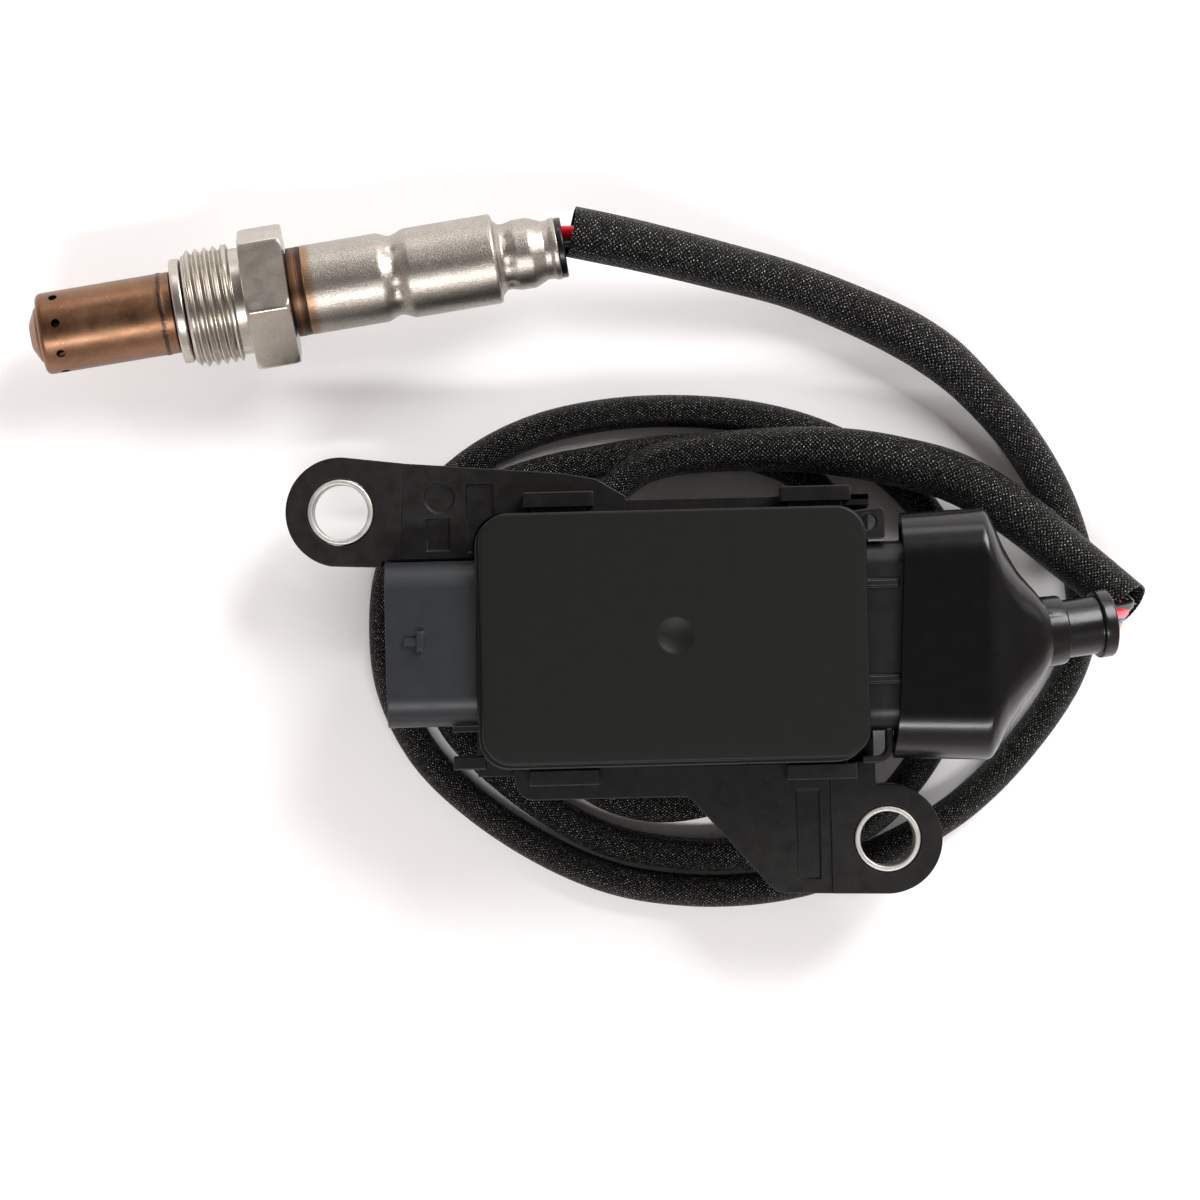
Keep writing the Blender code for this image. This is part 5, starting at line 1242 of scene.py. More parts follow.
@dataclass
class Bracket:
    """The moulded plate under the control unit, with two ears, clips and an arm.

    Outlines are (x, y, corner radius) in the unit's own directions, and boxes are left, right,
    front and back.
    """

    base: float = UNDERSIDE
    plate_top: float = 0.0151
    wing_top: float = 0.0197
    pad_top: float = 0.0202
    reach: float = 0.002
    gap: float = 0.0003
    edge_round: float = 0.00018
    steps: int = 40
    # Outline
    right: float = 0.0332
    ear_radius: float = 0.0092
    left_ear: tuple[float, float] = EARS[0]
    right_ear: tuple[float, float] = EARS[1]
    left_turn: tuple[float, float] = (86.0, 258.0)
    right_turn: tuple[float, float] = (-92.0, 96.0)
    front_edge: tuple[Corner, ...] = (
        (-0.0333, -0.0231, 0), (-0.0273, -0.0231, 0), (-0.0261, -0.0271, 0.0030),
        (0.0020, -0.0271, 0.0030), (0.0162, -0.0436, 0.0040))
    inner_edge: tuple[float, float, float] = (0.0332, -0.0257, 0.0004)
    back_edge: tuple[Corner, ...] = (
        (-0.0074, 0.0235, 0), (-0.0123, 0.0265, 0.0040), (-0.0181, 0.0276, 0),
        (-0.0348, 0.0290, 0), (-0.0443, 0.0298, 0))
    left_foot: tuple[float, float, float] = (-0.0333, 0.0118, 0)
    # The bay follows the housing, with its rounded back corner
    bay: tuple[Corner, ...] = (
        (0.0450, -0.02185, 0), (0.0450, 0.0209, 0),
        *arc((-0.0279, 0.0157), 0.0052, 90, 180, 12),
        (-0.0331, 0.0136, 0), (-0.0484, 0.0136, 0.0004), (-0.0488, 0.0110, 0),
        (-0.0620, 0.0110, 0), (-0.0620, -0.0300, 0), (-0.0300, -0.0300, 0),
        (-0.0273, -0.02185, 0))
    left_step: tuple[Corner, ...] = (
        (-0.0443, 0.0330, 0), (-0.0456, 0.0100, 0), (0.0450, 0.0100, 0), (0.0450, 0.0330, 0))
    right_step: tuple[Corner, ...] = (
        (0.0256, -0.0190, 0), (-0.0290, -0.0190, 0), (-0.0290, -0.0460, 0),
        (0.0256, -0.0460, 0))
    bushing_radius: float = BUSHING_RADIUS
    # Bare recesses: boxes and the round one
    recess_depth: float = 0.0005
    recesses: tuple[Box, ...] = (
        (-0.0409, -0.0370, 0.0151, 0.0204), (-0.0341, -0.0296, 0.0147, 0.0260),
        (0.0199, 0.0237, -0.0413, -0.0264))
    dial_at: tuple[float, float] = (-0.0386, 0.0239)
    dial_radius: float = 0.0025
    # Pockets on the underside, under a skin
    skin: float = 0.0020
    pocket_corner: float = 0.0010
    pockets: tuple[tuple[tuple[float, float], ...], ...] = (
        ((-0.0433, 0.0156), (-0.0401, 0.0156), (-0.0401, 0.0273), (-0.0426, 0.0275)),
        ((-0.0385, 0.0156), (-0.0352, 0.0156), (-0.0352, 0.0269), (-0.0385, 0.0271)),
        ((0.0040, -0.0269), (0.0159, -0.0269), (0.0159, -0.0406)),
        ((0.0175, -0.0269), (0.0245, -0.0269), (0.0245, -0.0418), (0.0175, -0.0418)))
    # Clips
    side_wall: float = 0.0012
    clip_faces: tuple[tuple[int, float], ...] = ((1, 0.0217), (-1, -0.02185))
    clip_centres: tuple[float, float] = (-0.0187, 0.0240)
    clip_length: float = 0.0116
    clip_depth: float = 0.0026
    clip_wall: float = 0.0009
    clip_slot: float = 0.0095
    clip_slot_depth: float = 0.0080
    clip_top: float = 0.0297
    clip_roof: float = 0.0016
    # Arm
    arm: tuple[Corner, ...] = (
        (0.0289, 0.0220, 0), (0.0332, 0.0220, 0), (0.0348, 0.0207, 0), (0.0370, 0.0202, 0),
        (0.0320, 0.0255, 0), (0.0269, 0.0257, 0))
    arm_thickness: float = 0.0016

    def outline(self) -> list[Corner]:
        """Return the outer corners, anticlockwise from the front left one."""
        wall = self.clip_faces[0][1] + self.side_wall
        return [*self.front_edge,
                *arc(self.right_ear, self.ear_radius, *self.right_turn, self.steps),
                self.inner_edge, (self.right, wall, 0), (self.back_edge[0][0], wall, 0),
                *self.back_edge,
                *arc(self.left_ear, self.ear_radius, *self.left_turn, self.steps),
                self.left_foot]

    def build(self, world: Callable[[Array], Array]) -> None:
        """Make the bracket.

        Args:
            world: Moves points from the unit's directions to the scene's.
        """
        below, above = self.base - self.reach, self.pad_top + self.reach

        def solid(corners: Sequence[Corner], bottom: float, top: float
                  ) -> bpy.types.Mesh:
            """Return a prism in place."""
            return closed_prism(world(prism(outlined(corners), bottom, top)))

        steps = [("DIFFERENCE", solid(self.bay, self.plate_top, above)),
                 ("DIFFERENCE", solid(self.left_step, self.wing_top, above)),
                 ("DIFFERENCE", solid(self.right_step, self.wing_top, above))]
        for ear in (self.left_ear, self.right_ear):
            bore = arc(ear, self.bushing_radius + self.gap / 3, 0, 360, 2 * self.steps)[:-1]
            steps.append(("DIFFERENCE", solid(bore, below, above)))
        floor = self.wing_top - self.recess_depth
        dial = arc(self.dial_at, self.dial_radius, 0, 360, self.steps)[:-1]
        steps.append(("DIFFERENCE", solid(dial, floor, above)))
        steps.extend(("DIFFERENCE", solid(box(*sides), floor, above))
                     for sides in self.recesses)
        for pocket in self.pockets:
            corners = [(x, y, self.pocket_corner) for x, y in pocket]
            steps.append(("DIFFERENCE", solid(corners, below, self.wing_top - self.skin)))
        for side, face in self.clip_faces:
            steps.extend(self.clip(side, face, solid))
        steps.append(("UNION", solid(self.arm, self.wing_top - self.arm_thickness,
                                     self.wing_top + self.gap)))
        mesh = carved(solid(self.outline(), self.base, self.pad_top), steps)
        mesh.name = "bracket"
        tidy(mesh)
        item = show("bracket_plate", mesh, NYLON, ["bracket"])
        rounded_edges(item, self.edge_round)

    def clip(self, side: int, face: float, solid: Callable) -> list[Step]:
        """Return the steps that make the clips of one side.

        Each is a block with a window for the housing's nose under its roof.
        """
        steps = []
        outer = face + side * self.clip_depth
        window = outer - side * self.clip_wall
        inner = face - side * self.reach
        for middle in self.clip_centres:
            half = self.clip_length / 2
            steps.append(("UNION", solid(box(middle - half, middle + half, *sorted((face, outer))),
                                         self.wing_top - self.side_wall, self.clip_top)))
            half = self.clip_slot / 2
            steps.append(("DIFFERENCE", solid(
                box(middle - half, middle + half, *sorted((inner, window))),
                self.clip_top - self.clip_slot_depth, self.clip_top - self.clip_roof)))
        return steps


@dataclass
class ControlUnit:
    """The control unit: bracket, housing, lid, bushings, boot and tube grommet."""

    centre: tuple[float, float, float] = (0.01685, -0.01370, 0.0)
    yaw: float = math.radians(1.4)
    middle: float = 0.02375
    bracket_bottom: float = UNDERSIDE
    ear_top: float = 0.0202
    gap: float = 0.0003
    edge_round: float = 0.00022
    # Lid
    lid_bottom: float = 0.0324
    lid_size: tuple[float, float] = (0.0641, 0.0417)
    lid_thickness: float = 0.0026
    lid_corner: float = 0.0050
    lid_edge: float = 0.0005
    lid_plug: float = 0.0015
    lid_border: float = 0.003
    lid_inset: float = 0.0004
    lid_steps: int = 128
    plug_box: Box = (-0.0304, 0.0292, -0.01925, 0.0182)
    plug_corner: float = 0.0027
    dimple_at: tuple[float, float] = (0.0002, 0.0)
    dimple_radius: float = 0.00305
    dimple_depth: float = 0.0006
    dimple_lip: float = 0.00025
    # Bushings
    ears: tuple[tuple[float, float], ...] = EARS
    bushing_radius: float = BUSHING_RADIUS
    bushing_bore: float = 0.0046
    bushing_proud: float = 0.0003
    # Boot sections: along, across, half width, half height, corner, yaw in degrees
    boot_sections: tuple[tuple[float, float, float, float, float, float], ...] = (
        (0.0381, -0.0009, 0.0204, 0.0085, 0.0078, -2.5),
        (0.0522, -0.0010, 0.0210, 0.0087, 0.0080, 0.0),
        (0.0534, -0.0013, 0.0191, 0.0085, 0.0078, 0.0),
        (0.0553, -0.0015, 0.0149, 0.0080, 0.0074, 0.6),
        (0.0577, -0.0016, 0.0109, 0.0074, 0.0070, 1.7),
        (0.0601, -0.0014, 0.0078, 0.0066, 0.0064, 3.4))
    boot_wall: float = 0.0016
    # The window its folds are averaged over, where it is hollow up to, and where it starts to
    # lean upwards and over what length
    boot_soft: float = 0.0007
    hollow_from: float = 0.0525
    lean_from: float = 0.0560
    lean_length: float = 0.0054
    lean_power: float = 1.5
    # Its sections and points, and the rows of the hollow: how many are left out at the
    # collar and at the rim, and which of the rest are kept
    boot_rows: int = 90
    boot_steps: int = 96
    hollow_rows: tuple[int, int, int] = (22, 3, 3)
    hollow_corner: float = 0.0006
    rim_inset: float = 0.0003
    rim_pull: float = 0.3
    # The collar's rounded end, in halves of its length and off its radius
    collar_drift: float = 0.115
    collar_rounding: tuple[tuple[float, float], ...] = (
        (0.72, 0.0), (0.9, -0.0001), (1.0, -0.0004), (1.0, -0.0009))
    # The stretched rim bows: its corners reach further over the neck than its middle
    rim_bow: float = 0.0012
    rim_reach: float = 0.0500
    rim_fade: float = 0.0119
    nozzle_at: tuple[float, float] = (0.0630, -0.0008)
    nozzle_yaw: float = math.radians(6.6)
    nozzle_pitch: float = math.radians(15)
    collar_outer: float = 0.00580
    collar_half: float = 0.0016
    tube_radius: float = 0.00485
    tube_bore: float = 0.0034
    tube_start: float = -0.0014
    tube_end: float = 0.0101
    flange_radius: float = 0.00565
    flange_width: float = 0.0024
    tube_seam: float = 0.004

    def mouth(self) -> tuple[Array, Array]:
        """Return the middle of the tube's open end and the direction it looks in."""
        ends = self.collar(np.array([0.0, self.tube_end]), np.array([0.0, 0.0]), 8)
        start, end = self.world(ends)[:, 0]
        return end, (end - start) / np.linalg.norm(end - start)

    def world(self, points: Array) -> Array:
        """Turn points of the unit by its yaw and move them to its place."""
        cos, sin = math.cos(self.yaw), math.sin(self.yaw)
        turned = np.stack([points[..., 0] * cos - points[..., 1] * sin,
                           points[..., 0] * sin + points[..., 1] * cos,
                           points[..., 2]], axis=-1)
        return turned + np.array(self.centre)

    def lid(self) -> None:
        """Make the lid as rings that shrink from its rim to the bottom of its dimple.

        The bowl is a sphere's cap, of radius (a^2 + h^2) / 2h for a rim a and a depth h.
        """
        count = self.lid_steps
        bottom, top = self.lid_bottom, self.lid_bottom + self.lid_thickness
        left, right, front, back = self.plug_box
        plug = ring((right - left) / 2, (back - front) / 2, self.plug_corner, count)[0]
        plug = plug + np.array([(left + right) / 2, (front + back) / 2])
        half = np.array(self.lid_size) / 2
        edge = rounded_profile([(0.0, bottom, 0), (self.lid_edge, bottom, 0.00015),
                                (0.0, bottom, 0.00015), (0.0, top, self.lid_edge),
                                (self.lid_border, top, 0)], 8)[3:]
        rim = ring(half[0] - edge[:, 0], half[1] - edge[:, 0], self.lid_corner - edge[:, 0], count)
        turn = FULL_TURN * (np.arange(count) + HALF - count / 8) / count + math.radians(45)
        circle = np.stack([np.cos(turn), np.sin(turn)], axis=1)
        centre = np.array(self.dimple_at)
        share = np.linspace(1, 0, 12)
        radius = (self.dimple_radius ** 2 + self.dimple_depth ** 2) / (2 * self.dimple_depth)
        reach = self.dimple_radius * share
        bowl_z = top - (np.sqrt(radius ** 2 - reach ** 2) - (radius - self.dimple_depth))
        bowl = centre + reach[:, None, None] * circle[None]
        lip = centre + (self.dimple_radius + self.dimple_lip) * circle[None]
        under = plug.mean(axis=0)
        inset = self.lid_inset
        rings = [
            self.lift(np.broadcast_to(under, plug.shape), bottom - self.lid_plug),
            self.lift(plug, bottom - self.lid_plug), self.lift(plug, bottom),
            self.lift(ring(half[0] - inset, half[1] - inset, self.lid_corner - inset,
                           count)[0], bottom),
            *[self.lift(flat, height) for flat, height in zip(rim, edge[:, 1])],
            self.lift(lip[0], top),
            *[self.lift(flat, height) for flat, height in zip(bowl, bowl_z)]]
        mesh = skin("lid", self.world(np.stack(rings)))
        show("cover", mesh, LID_NYLON, ["lid"])

    @staticmethod
    def lift(flat: Array, height: float) -> Array:
        """Return a flat ring at a height."""
        return np.concatenate([flat, np.full((len(flat), 1), height)], axis=1)

    def bushings(self) -> None:
        """Make the two steel sleeves of the bolt holes."""
        bottom = self.bracket_bottom - self.bushing_proud
        top = self.ear_top + self.bushing_proud
        bore, rim = self.bushing_bore, self.bushing_radius
        middle = (bottom + top) / 2
        profile = densely(rounded_profile([
            (bore, middle, 0), (bore, top, 0.00025), (rim, top, 0.0003), (rim, bottom, 0.0003),
            (bore, bottom, 0.00025), (bore, middle, 0)]), 0.0006)[:-1]
        turn = FULL_TURN * np.arange(96) / 96
        for name, (x, y) in zip(("left_bushing", "right_bushing"), self.ears):
            points = np.stack(np.broadcast_arrays(
                x + profile[:, :1] * np.cos(turn), y + profile[:, :1] * np.sin(turn),
                profile[:, 1:2]), axis=-1)
            mesh = skin(name, self.world(points), True)
            show(name.replace("bushing", "sleeve"), mesh, ZINC, [name])

    def leaned(self, x: Array, y: Array, ring_points: Array, yaw: Array, pitch: Array,
               along: Array) -> Array:
        """Stand flat sections up at their places.

        A section's first coordinate runs across and its second up. It is pitched about the
        line across, turned by its yaw, and moved along its own normal.
        """
        cos_p, sin_p = np.cos(pitch)[:, None], np.sin(pitch)[:, None]
        cos_y, sin_y = np.cos(yaw)[:, None], np.sin(yaw)[:, None]
        side, lift = ring_points[..., 0], ring_points[..., 1]
        ahead = along[:, None] * cos_p + lift * sin_p
        rise = lift * cos_p - along[:, None] * sin_p
        return np.stack([x[:, None] + ahead * cos_y - side * sin_y,
                         y[:, None] + ahead * sin_y + side * cos_y,
                         self.middle + rise], axis=-1)

    def boot(self) -> None:
        """Make the hollow boot: a flat oval that narrows to a round collar.

        The sections are interpolated along the boot and averaged over a short window, so
        that its folds are soft.
        """
        count = self.boot_steps
        table = np.array(self.boot_sections, float)
        nozzle = np.array([*self.nozzle_at, self.collar_outer, self.collar_outer,
                           self.collar_outer, math.degrees(self.nozzle_yaw)])
        root = nozzle - np.array([self.collar_half, self.collar_half * self.collar_drift,
                                  0, 0, 0, 0])
        table = np.concatenate([table, [root]])
        where = np.concatenate([[0.0], np.cumsum(np.linalg.norm(
            np.diff(table[:, [0, 2]], axis=0), axis=1))])
        fine = np.linspace(0, where[-1], self.boot_rows)
        spread = np.linspace(-self.boot_soft, self.boot_soft, 9)
        inside = np.clip(fine[:, None] + spread, 0, where[-1])
        values = np.stack([np.interp(inside, where, column).mean(axis=1)
                           for column in table.T], axis=1)
        values[0] = table[0]
        leaning = np.clip((values[:, 0] - self.lean_from) / self.lean_length, 0, 1)
        pitch = self.nozzle_pitch * leaning ** self.lean_power
        outer = self.section(values, pitch, count)
        ends, less = np.array(self.collar_rounding).T
        bore = self.tube_radius + self.gap
        round_rows = self.collar(
            np.append(ends * self.collar_half, [self.collar_half, -self.collar_half]),
            np.append(self.collar_outer + less, [bore + self.gap / 3, bore]), count)
        at_collar, at_rim, every = self.hollow_rows
        kept = np.arange(len(values) - at_collar, at_rim, -every)
        back = np.where(values[:, 0] > self.hollow_from, self.boot_wall / 2, 0.0)
        sizes = np.array([0, 0, 1, 1, 1, 0])
        hollow = values - self.boot_wall * sizes
        hollow[:, 0] -= back
        hollow[:, 4] = np.maximum(hollow[:, 4], self.hollow_corner)
        inner = self.section(hollow[kept], pitch[kept], count)
        rim = self.section(np.array([table[0] - self.boot_wall * sizes,
                                     table[0] - self.rim_inset * sizes]), np.zeros(2), count)
        outer[0] += (outer[1] - outer[0]) * self.rim_pull
        points = np.concatenate([outer, round_rows, inner, rim])
        near = np.clip((self.rim_reach - points[..., 0]) / self.rim_fade, 0, 1)
        points[..., 0] -= self.rim_bow * near * (points[..., 1] / table[0, 2]) ** 2
        mesh = skin("boot", self.world(points), True)
        show("cable_boot", mesh, SILICONE, ["boot"])

    def section(self, values: Array, pitch: Array, count: int) -> Array:
        """Return the rings of boot sections."""
        flat = ring(values[:, 2], values[:, 3], np.minimum(values[:, 4], values[:, 3]), count)
        return self.leaned(values[:, 0], values[:, 1], flat, np.radians(values[:, 5]), pitch,
                           0 * pitch)

    def collar(self, along: Array, radius: Array, count: int) -> Array:
        """Return round rings about the nozzle's axis."""
        flat = ring(radius, radius, radius, count)
        level = 0 * along
        return self.leaned(self.nozzle_at[0] + level, self.nozzle_at[1] + level, flat,
                           self.nozzle_yaw + level, self.nozzle_pitch + level, along)

    def tube_grommet(self) -> None:
        """Make the flanged rubber tube in the boot's collar."""
        flange = self.tube_end - self.flange_width
        profile = densely(rounded_profile([
            (self.tube_seam, self.tube_bore, 0), (self.tube_start, self.tube_bore, 0.0002),
            (self.tube_start, self.tube_radius, 0.0003), (flange, self.tube_radius, 0.0002),
            (flange, self.flange_radius, 0.0004), (self.tube_end, self.flange_radius, 0.0004),
            (self.tube_end, self.tube_bore, 0.0004), (self.tube_seam, self.tube_bore, 0)]),
            0.0006)[:-1]
        mesh = skin("tube_grommet", self.world(self.collar(profile[:, 0], profile[:, 1], 96)),
                    True)
        show("tube_end", mesh, FLUORO, ["tube_grommet"])

    def build(self) -> None:
        """Make the pieces of the control unit that show."""
        Bracket().build(self.world)
        bevelled_copy("housing", "housing_tray", PBT, self.edge_round)
        self.lid()
        self.bushings()
        self.boot()
        self.tube_grommet()
        LOG.info("control unit: %.1f mm long", self.lid_size[0] / MM)


@dataclass
class Cable:
    """The braided sleeve, wound under the control unit, and the wires at its two mouths."""

    diameter: float = 0.006
    wall: float = 0.0004
    mouth_depth: float = 0.011
    wire_radius: float = WIRE_RADIUS
    wire_rows: int = 48
    wire_columns: int = 16
    fold: float = 0.0008
    # How deep the wires are led into each mouth, and how far they keep apart there
    probe_depths: tuple[float, ...] = (0.0025, 0.006, 0.010)
    unit_depths: tuple[tuple[float, float], ...] = ((0.003, 0.85), (0.006, 0.7), (0.010, 0.6))
    # A direction that the wires at the unit's end never take
    aslant: Corner = (0.45, 0.9, 0.0)
    # The mouth at the unit's end is cut aslant, its upper lip further back
    slant: float = 0.22
    slant_reach: float = 0.009
    # Each wire's place in the unit's tube, left and up, and in the sleeve's mouth, aside and up
    unit_places: tuple[Box, ...] = (
        (0.0012, 0.0012, -0.0012, 0.0003), (-0.0022, -0.0012, -0.0026, -0.0010),
        (0.0020, -0.0010, 0.0003, -0.0009), (-0.0006, -0.0006, -0.0013, -0.0024),
        (0.0006, -0.0022, 0.0006, -0.0027))
    # Each wire's place in the sleeve's other mouth, towards +Y and up
    probe_places: tuple[tuple[float, float], ...] = (
        (0.0004, 0.0021), (0.0002, 0.0000), (-0.0017, 0.0011), (-0.0021, -0.0006),
        (-0.0006, -0.0020))
    rows: int = 900
    columns: int = 40
    # Route points (x, y, z, radius) from the probe's end to the control unit's
    points: tuple[Box, ...] = (
        (-0.00031, 0.05420, 0.0131, 0.00435), (0.00487, 0.05319, 0.0126, 0.00435),
        (0.01297, 0.05149, 0.0112, 0.00425), (0.02487, 0.04869, 0.0084, 0.00410),
        (0.03677, 0.04559, 0.0056, 0.00395), (0.04697, 0.04169, 0.0044, 0.00410),
        (0.05627, 0.03729, 0.0044, 0.00425), (0.06277, 0.03309, 0.0043, 0.00410),
        (0.06817, 0.02819, 0.0039, 0.00370), (0.07507, 0.02039, 0.0037, 0.00350),
        (0.08047, 0.01189, 0.0035, 0.00340), (0.08387, 0.00409, 0.0033, 0.00320),
        (0.08647, -0.00611, 0.0030, 0.00290), (0.08597, -0.01461, 0.0029, 0.00275),
        (0.08407, -0.02051, 0.0028, 0.00275), (0.08117, -0.02561, 0.0028, 0.00275),
        (0.07707, -0.03121, 0.0028, 0.00275), (0.07187, -0.03721, 0.0028, 0.00275),
        (0.06607, -0.04251, 0.0028, 0.00275), (0.06067, -0.04621, 0.0028, 0.00275),
        (0.05297, -0.05031, 0.0028, 0.00275), (0.04537, -0.05331, 0.0028, 0.00275),
        (0.03907, -0.05541, 0.0028, 0.00275), (0.03007, -0.05691, 0.0028, 0.00275),
        (0.01987, -0.05711, 0.0028, 0.00275), (0.00797, -0.05541, 0.0028, 0.00275),
        (-0.00313, -0.05111, 0.0028, 0.00275), (-0.01583, -0.04311, 0.0028, 0.00275),
        (-0.02513, -0.03411, 0.0028, 0.00275), (-0.03063, -0.02311, 0.0028, 0.00275),
        (-0.03193, -0.01291, 0.0028, 0.00275), (-0.03083, -0.00271, 0.0028, 0.00275),
        (-0.02603, 0.00659, 0.0028, 0.00275), (-0.01753, 0.01509, 0.0028, 0.00275),
        (-0.00733, 0.02059, 0.0028, 0.00275), (0.00457, 0.02349, 0.0028, 0.00275),
        (0.01817, 0.02429, 0.0028, 0.00275), (0.03177, 0.02299, 0.0028, 0.00275),
        (0.04367, 0.01939, 0.0028, 0.00275), (0.05467, 0.01289, 0.0028, 0.00275),
        (0.06237, 0.00319, 0.0028, 0.00275), (0.06607, -0.00951, 0.0028, 0.00275),
        (0.06537, -0.02141, 0.0030, 0.00275), (0.06137, -0.03121, 0.0046, 0.00275),
        (0.05617, -0.03891, 0.0070, 0.00275), (0.05067, -0.04451, 0.0083, 0.00275),
        (0.04427, -0.04791, 0.0078, 0.00275), (0.03677, -0.05001, 0.0052, 0.00275),
        (0.02837, -0.05091, 0.0035, 0.00275), (0.01817, -0.05081, 0.0028, 0.00275),
        (0.00797, -0.04911, 0.0028, 0.00275), (-0.00053, -0.04541, 0.0028, 0.00275),
        (-0.01163, -0.03771, 0.0028, 0.00275), (-0.02043, -0.02851, 0.0028, 0.00275),
        (-0.02343, -0.01801, 0.0036, 0.00275), (-0.02373, -0.00781, 0.0062, 0.00275),
        (-0.02113, 0.00419, 0.0086, 0.00275), (-0.01303, 0.01079, 0.0066, 0.00275),
        (-0.00413, 0.01409, 0.0036, 0.00275), (0.00287, 0.01549, 0.0028, 0.00275),
        (0.01137, 0.01699, 0.0028, 0.00275), (0.01987, 0.01769, 0.0028, 0.00275),
        (0.02837, 0.01719, 0.0028, 0.00275), (0.03717, 0.01429, 0.0028, 0.00275),
        (0.04397, 0.00779, 0.0028, 0.00275), (0.04757, -0.00271, 0.0028, 0.00275),
        (0.04707, -0.01541, 0.0028, 0.00275), (0.04277, -0.02681, 0.0028, 0.00275),
        (0.03377, -0.03701, 0.0028, 0.00275), (0.02157, -0.04211, 0.0028, 0.00275),
        (0.01137, -0.04251, 0.0028, 0.00275), (0.00197, -0.03841, 0.0028, 0.00275),
        (-0.00423, -0.02961, 0.0028, 0.00275), (-0.00633, -0.01801, 0.0028, 0.00275),
        (-0.00473, -0.00611, 0.0042, 0.00275), (-0.00053, 0.00319, 0.0066, 0.00275),
        (0.00287, 0.00729, 0.0080, 0.00275), (0.00537, 0.00959, 0.0085, 0.00275),
        (0.00827, 0.01209, 0.0086, 0.00275), (0.01127, 0.01429, 0.0088, 0.00285),
        (0.01567, 0.01599, 0.0091, 0.00310), (0.02437, 0.01719, 0.0093, 0.00340),
        (0.03297, 0.01759, 0.0098, 0.00370), (0.04167, 0.01749, 0.0100, 0.00400),
        (0.05017, 0.01649, 0.0103, 0.00420), (0.05587, 0.01529, 0.0103, 0.00430),
        (0.06197, 0.01379, 0.0096, 0.00430), (0.06727, 0.01159, 0.0090, 0.00430),
        (0.07217, 0.00859, 0.0092, 0.00430), (0.07717, 0.00499, 0.0100, 0.00430),
        (0.08247, 0.00059, 0.0106, 0.00420), (0.08797, -0.00391, 0.0114, 0.00410),
        (0.09347, -0.00861, 0.0130, 0.00410))

    def sleeve(self) -> tuple[bpy.types.Object, Array]:
        """Make the sleeve with its two open mouths.

        Returns:
            The object and the points of its centreline.
        """
        line = route(np.array(self.points), self.rows)
        path, radius = line[:, :3], line[:, 3]
        spacing = np.linalg.norm(path[1] - path[0])
        reach = round(self.mouth_depth / spacing)
        outer = tube(path, radius, radius, self.columns)
        inner = tube(path, radius - self.wall, radius - self.wall, self.columns)
        facing = (path[-1] - path[-2]) / spacing
        near = np.clip(1 - np.arange(self.rows)[::-1] * spacing / self.slant_reach, 0, 1)
        for rings in (outer, inner):
            height = rings[..., 2] - path[:, None, 2]
            rings -= (self.slant * near[:, None] ** 2 * height)[..., None] * facing
        start = inner[:reach][::-1]
        end = inner[-reach:][::-1]
        points = capped(np.concatenate([start, outer, end]))
        distance = np.arange(self.rows) * spacing
        along = np.concatenate([[distance[reach]], distance[:reach][::-1], distance,
                                distance[-reach:][::-1], [distance[-reach]]])
        mesh = skin("braided_sleeve", points, along=along)
        item = show("sleeve_braid", mesh, BRAID, ["braided_sleeve"])
        return item, path

    def wire(self, stem: str, number: int, colour: Jacket, points: Array,
             level: Sequence[float] = UP) -> bpy.types.Object:
        """Make one wire along a smooth curve through points.

        Args:
            stem: The CAD node's name without its number.
            number: The wire's number.
            colour: Its jacket.
            points: The points it passes through.
            level: A direction that the wire never takes.

        Returns:
            The object.
        """
        path = route(points, self.wire_rows)
        radius = np.full(self.wire_rows, self.wire_radius)
        mesh = skin(f"{stem}_{number}", capped(tube(path, radius, radius, self.wire_columns,
                                                    level)))
        return show(f"{stem.replace('_wire', '_lead')}_{number}", mesh, jacket(colour),
                    [f"{stem}_{number}"])

    def probe_wires(self, probe: Probe, path: Array) -> list[bpy.types.Object]:
        """Make the wires from the grommet of the probe to the inside of the sleeve."""
        spacing = np.linalg.norm(path[1] - path[0])
        wires = []
        straight = [probe.exits(at) for at in (probe.grommet_start + MM,
                                               probe.sleeve_end - MM, probe.grommet_end)]
        for number, (colour, out, (across, up)) in enumerate(
                zip(Jacket, zip(*straight), self.probe_places), 1):
            off = up * probe.up - across * probe.side
            into = [path[round(depth / spacing)] + off for depth in self.probe_depths]
            wires.append(self.wire("probe_wire", number, colour, np.array([*out, *into])))
        return wires

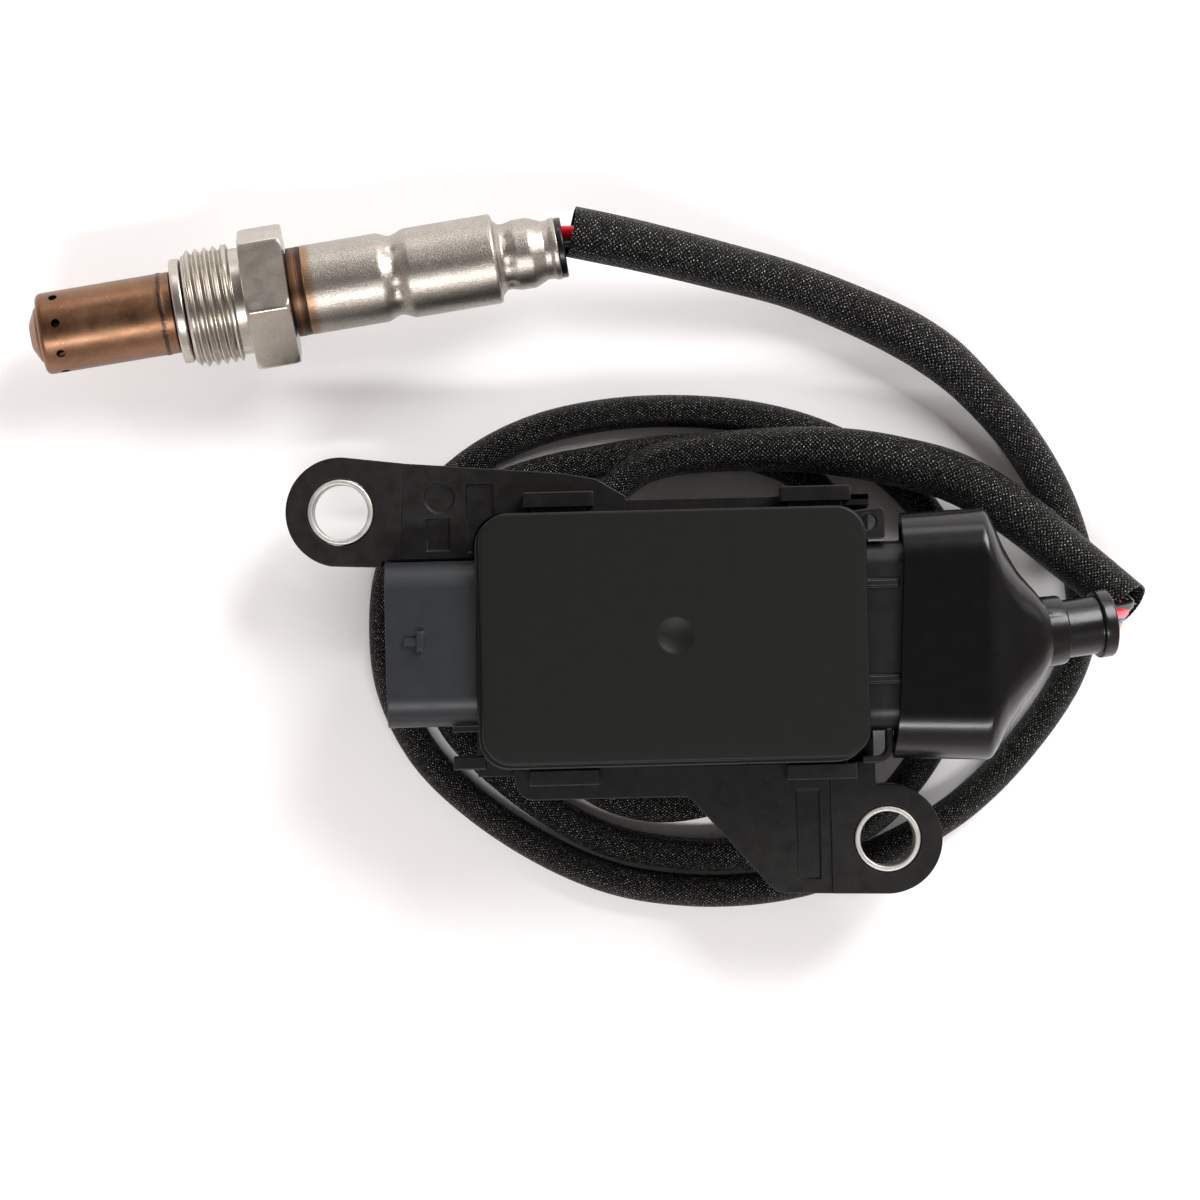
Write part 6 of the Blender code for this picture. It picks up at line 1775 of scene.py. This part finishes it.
    def unit_wires(self, unit: "ControlUnit", path: Array) -> list[bpy.types.Object]:
        """Make the wires that fold over the sleeve's lip under the flange of the boot's tube.

        Each is a cubic Bezier curve b = (1-t)^3 a + 3t(1-t)^2 (a + h u) + 3t^2 (1-t)(c + h n)
        + t^3 c from its place a in the tube, which looks along u, to its place c in the mouth
        of the sleeve, which looks along n.
        """
        exit_at, outward = unit.mouth()
        spacing = np.linalg.norm(path[1] - path[0])
        mouth = path[-1]
        facing = path[-1] - path[-4]
        facing /= np.linalg.norm(facing)
        aside = np.cross(np.array(UP), facing)
        aside /= np.linalg.norm(aside)
        left = np.cross(np.array(UP), outward)
        left /= np.linalg.norm(left)
        top = np.cross(outward, left)
        t = np.linspace(0, 1, 5)[:, None]
        wires = []
        for number, (colour, (across, up, over, rise)) in enumerate(
                zip(Jacket, self.unit_places), 1):
            start = exit_at + across * left + up * top
            last = mouth + over * aside + rise * np.array(UP)
            bend = [start, start + self.fold * outward, last + self.fold * facing, last]
            curve = ((1 - t) ** 3 * bend[0] + 3 * t * (1 - t) ** 2 * bend[1]
                     + 3 * t ** 2 * (1 - t) * bend[2] + t ** 3 * bend[3])
            into = [path[-round(depth / spacing)] + share * (over * aside + rise * np.array(UP))
                    for depth, share in self.unit_depths]
            points = np.concatenate([[start - 0.006 * outward, start - 0.002 * outward], curve,
                                     into])
            wires.append(self.wire("unit_wire", number, colour, points, self.aslant))
        return wires

    def build(self, probe: Probe, unit: "ControlUnit") -> None:
        item, path = self.sleeve()
        wires = [*self.probe_wires(probe, path), *self.unit_wires(unit, path)]
        length = float(np.linalg.norm(np.diff(path, axis=0), axis=1).sum())
        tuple(path[0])
        LOG.info("cable: %.0f mm of sleeve", length / MM)


def dress(node: bpy.types.Object, look: Finish, slot: str) -> None:
    """Give a CAD node a finish in its own material slots."""
    node.data.materials.clear()
    node.data.materials.append(look.material())


# The finish, a slot name and the CAD nodes of what lies deeper inside
HIDDEN = (
    (HEATED, "heated_steel", ("inner_protection_tube",)),
    (ALUMINA, "ceramic", ("front_ceramic_bush", "rear_ceramic_bush", "sensor_element",
                          "contact_holder")),
    (TALC, "pressed_powder", ("powder_seal",)),
    (SPRING, "spring_metal", tuple(f"contact_spring_{number}" for number in range(1, 6))),
    (BOARD, "circuit_board", ("circuit_board",)),
    (CHIP, "chip_plastic", ("processor", "driver_chip", "power_chip")),
    (CAN, "capacitor_can", ("capacitor_1", "capacitor_2")),
    (TIN, "tinned_brass", tuple(f"plug_pin_{number}" for number in range(1, 6))),
)


def dress_the_rest() -> None:
    """Give the CAD nodes that lie deeper inside their finishes."""
    for look, slot, nodes in HIDDEN:
        for name in nodes:
            dress(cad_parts[name], look, slot)


def main() -> None:
    """Build the scene in order."""
    logging.basicConfig(level=logging.INFO, format="%(name)s %(message)s")
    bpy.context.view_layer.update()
    Studio().build()
    probe, unit = Probe(), ControlUnit()
    Cable().build(probe, unit)
    probe.build()
    unit.build()
    dress_the_rest()


if __name__ == "__main__":
    main()
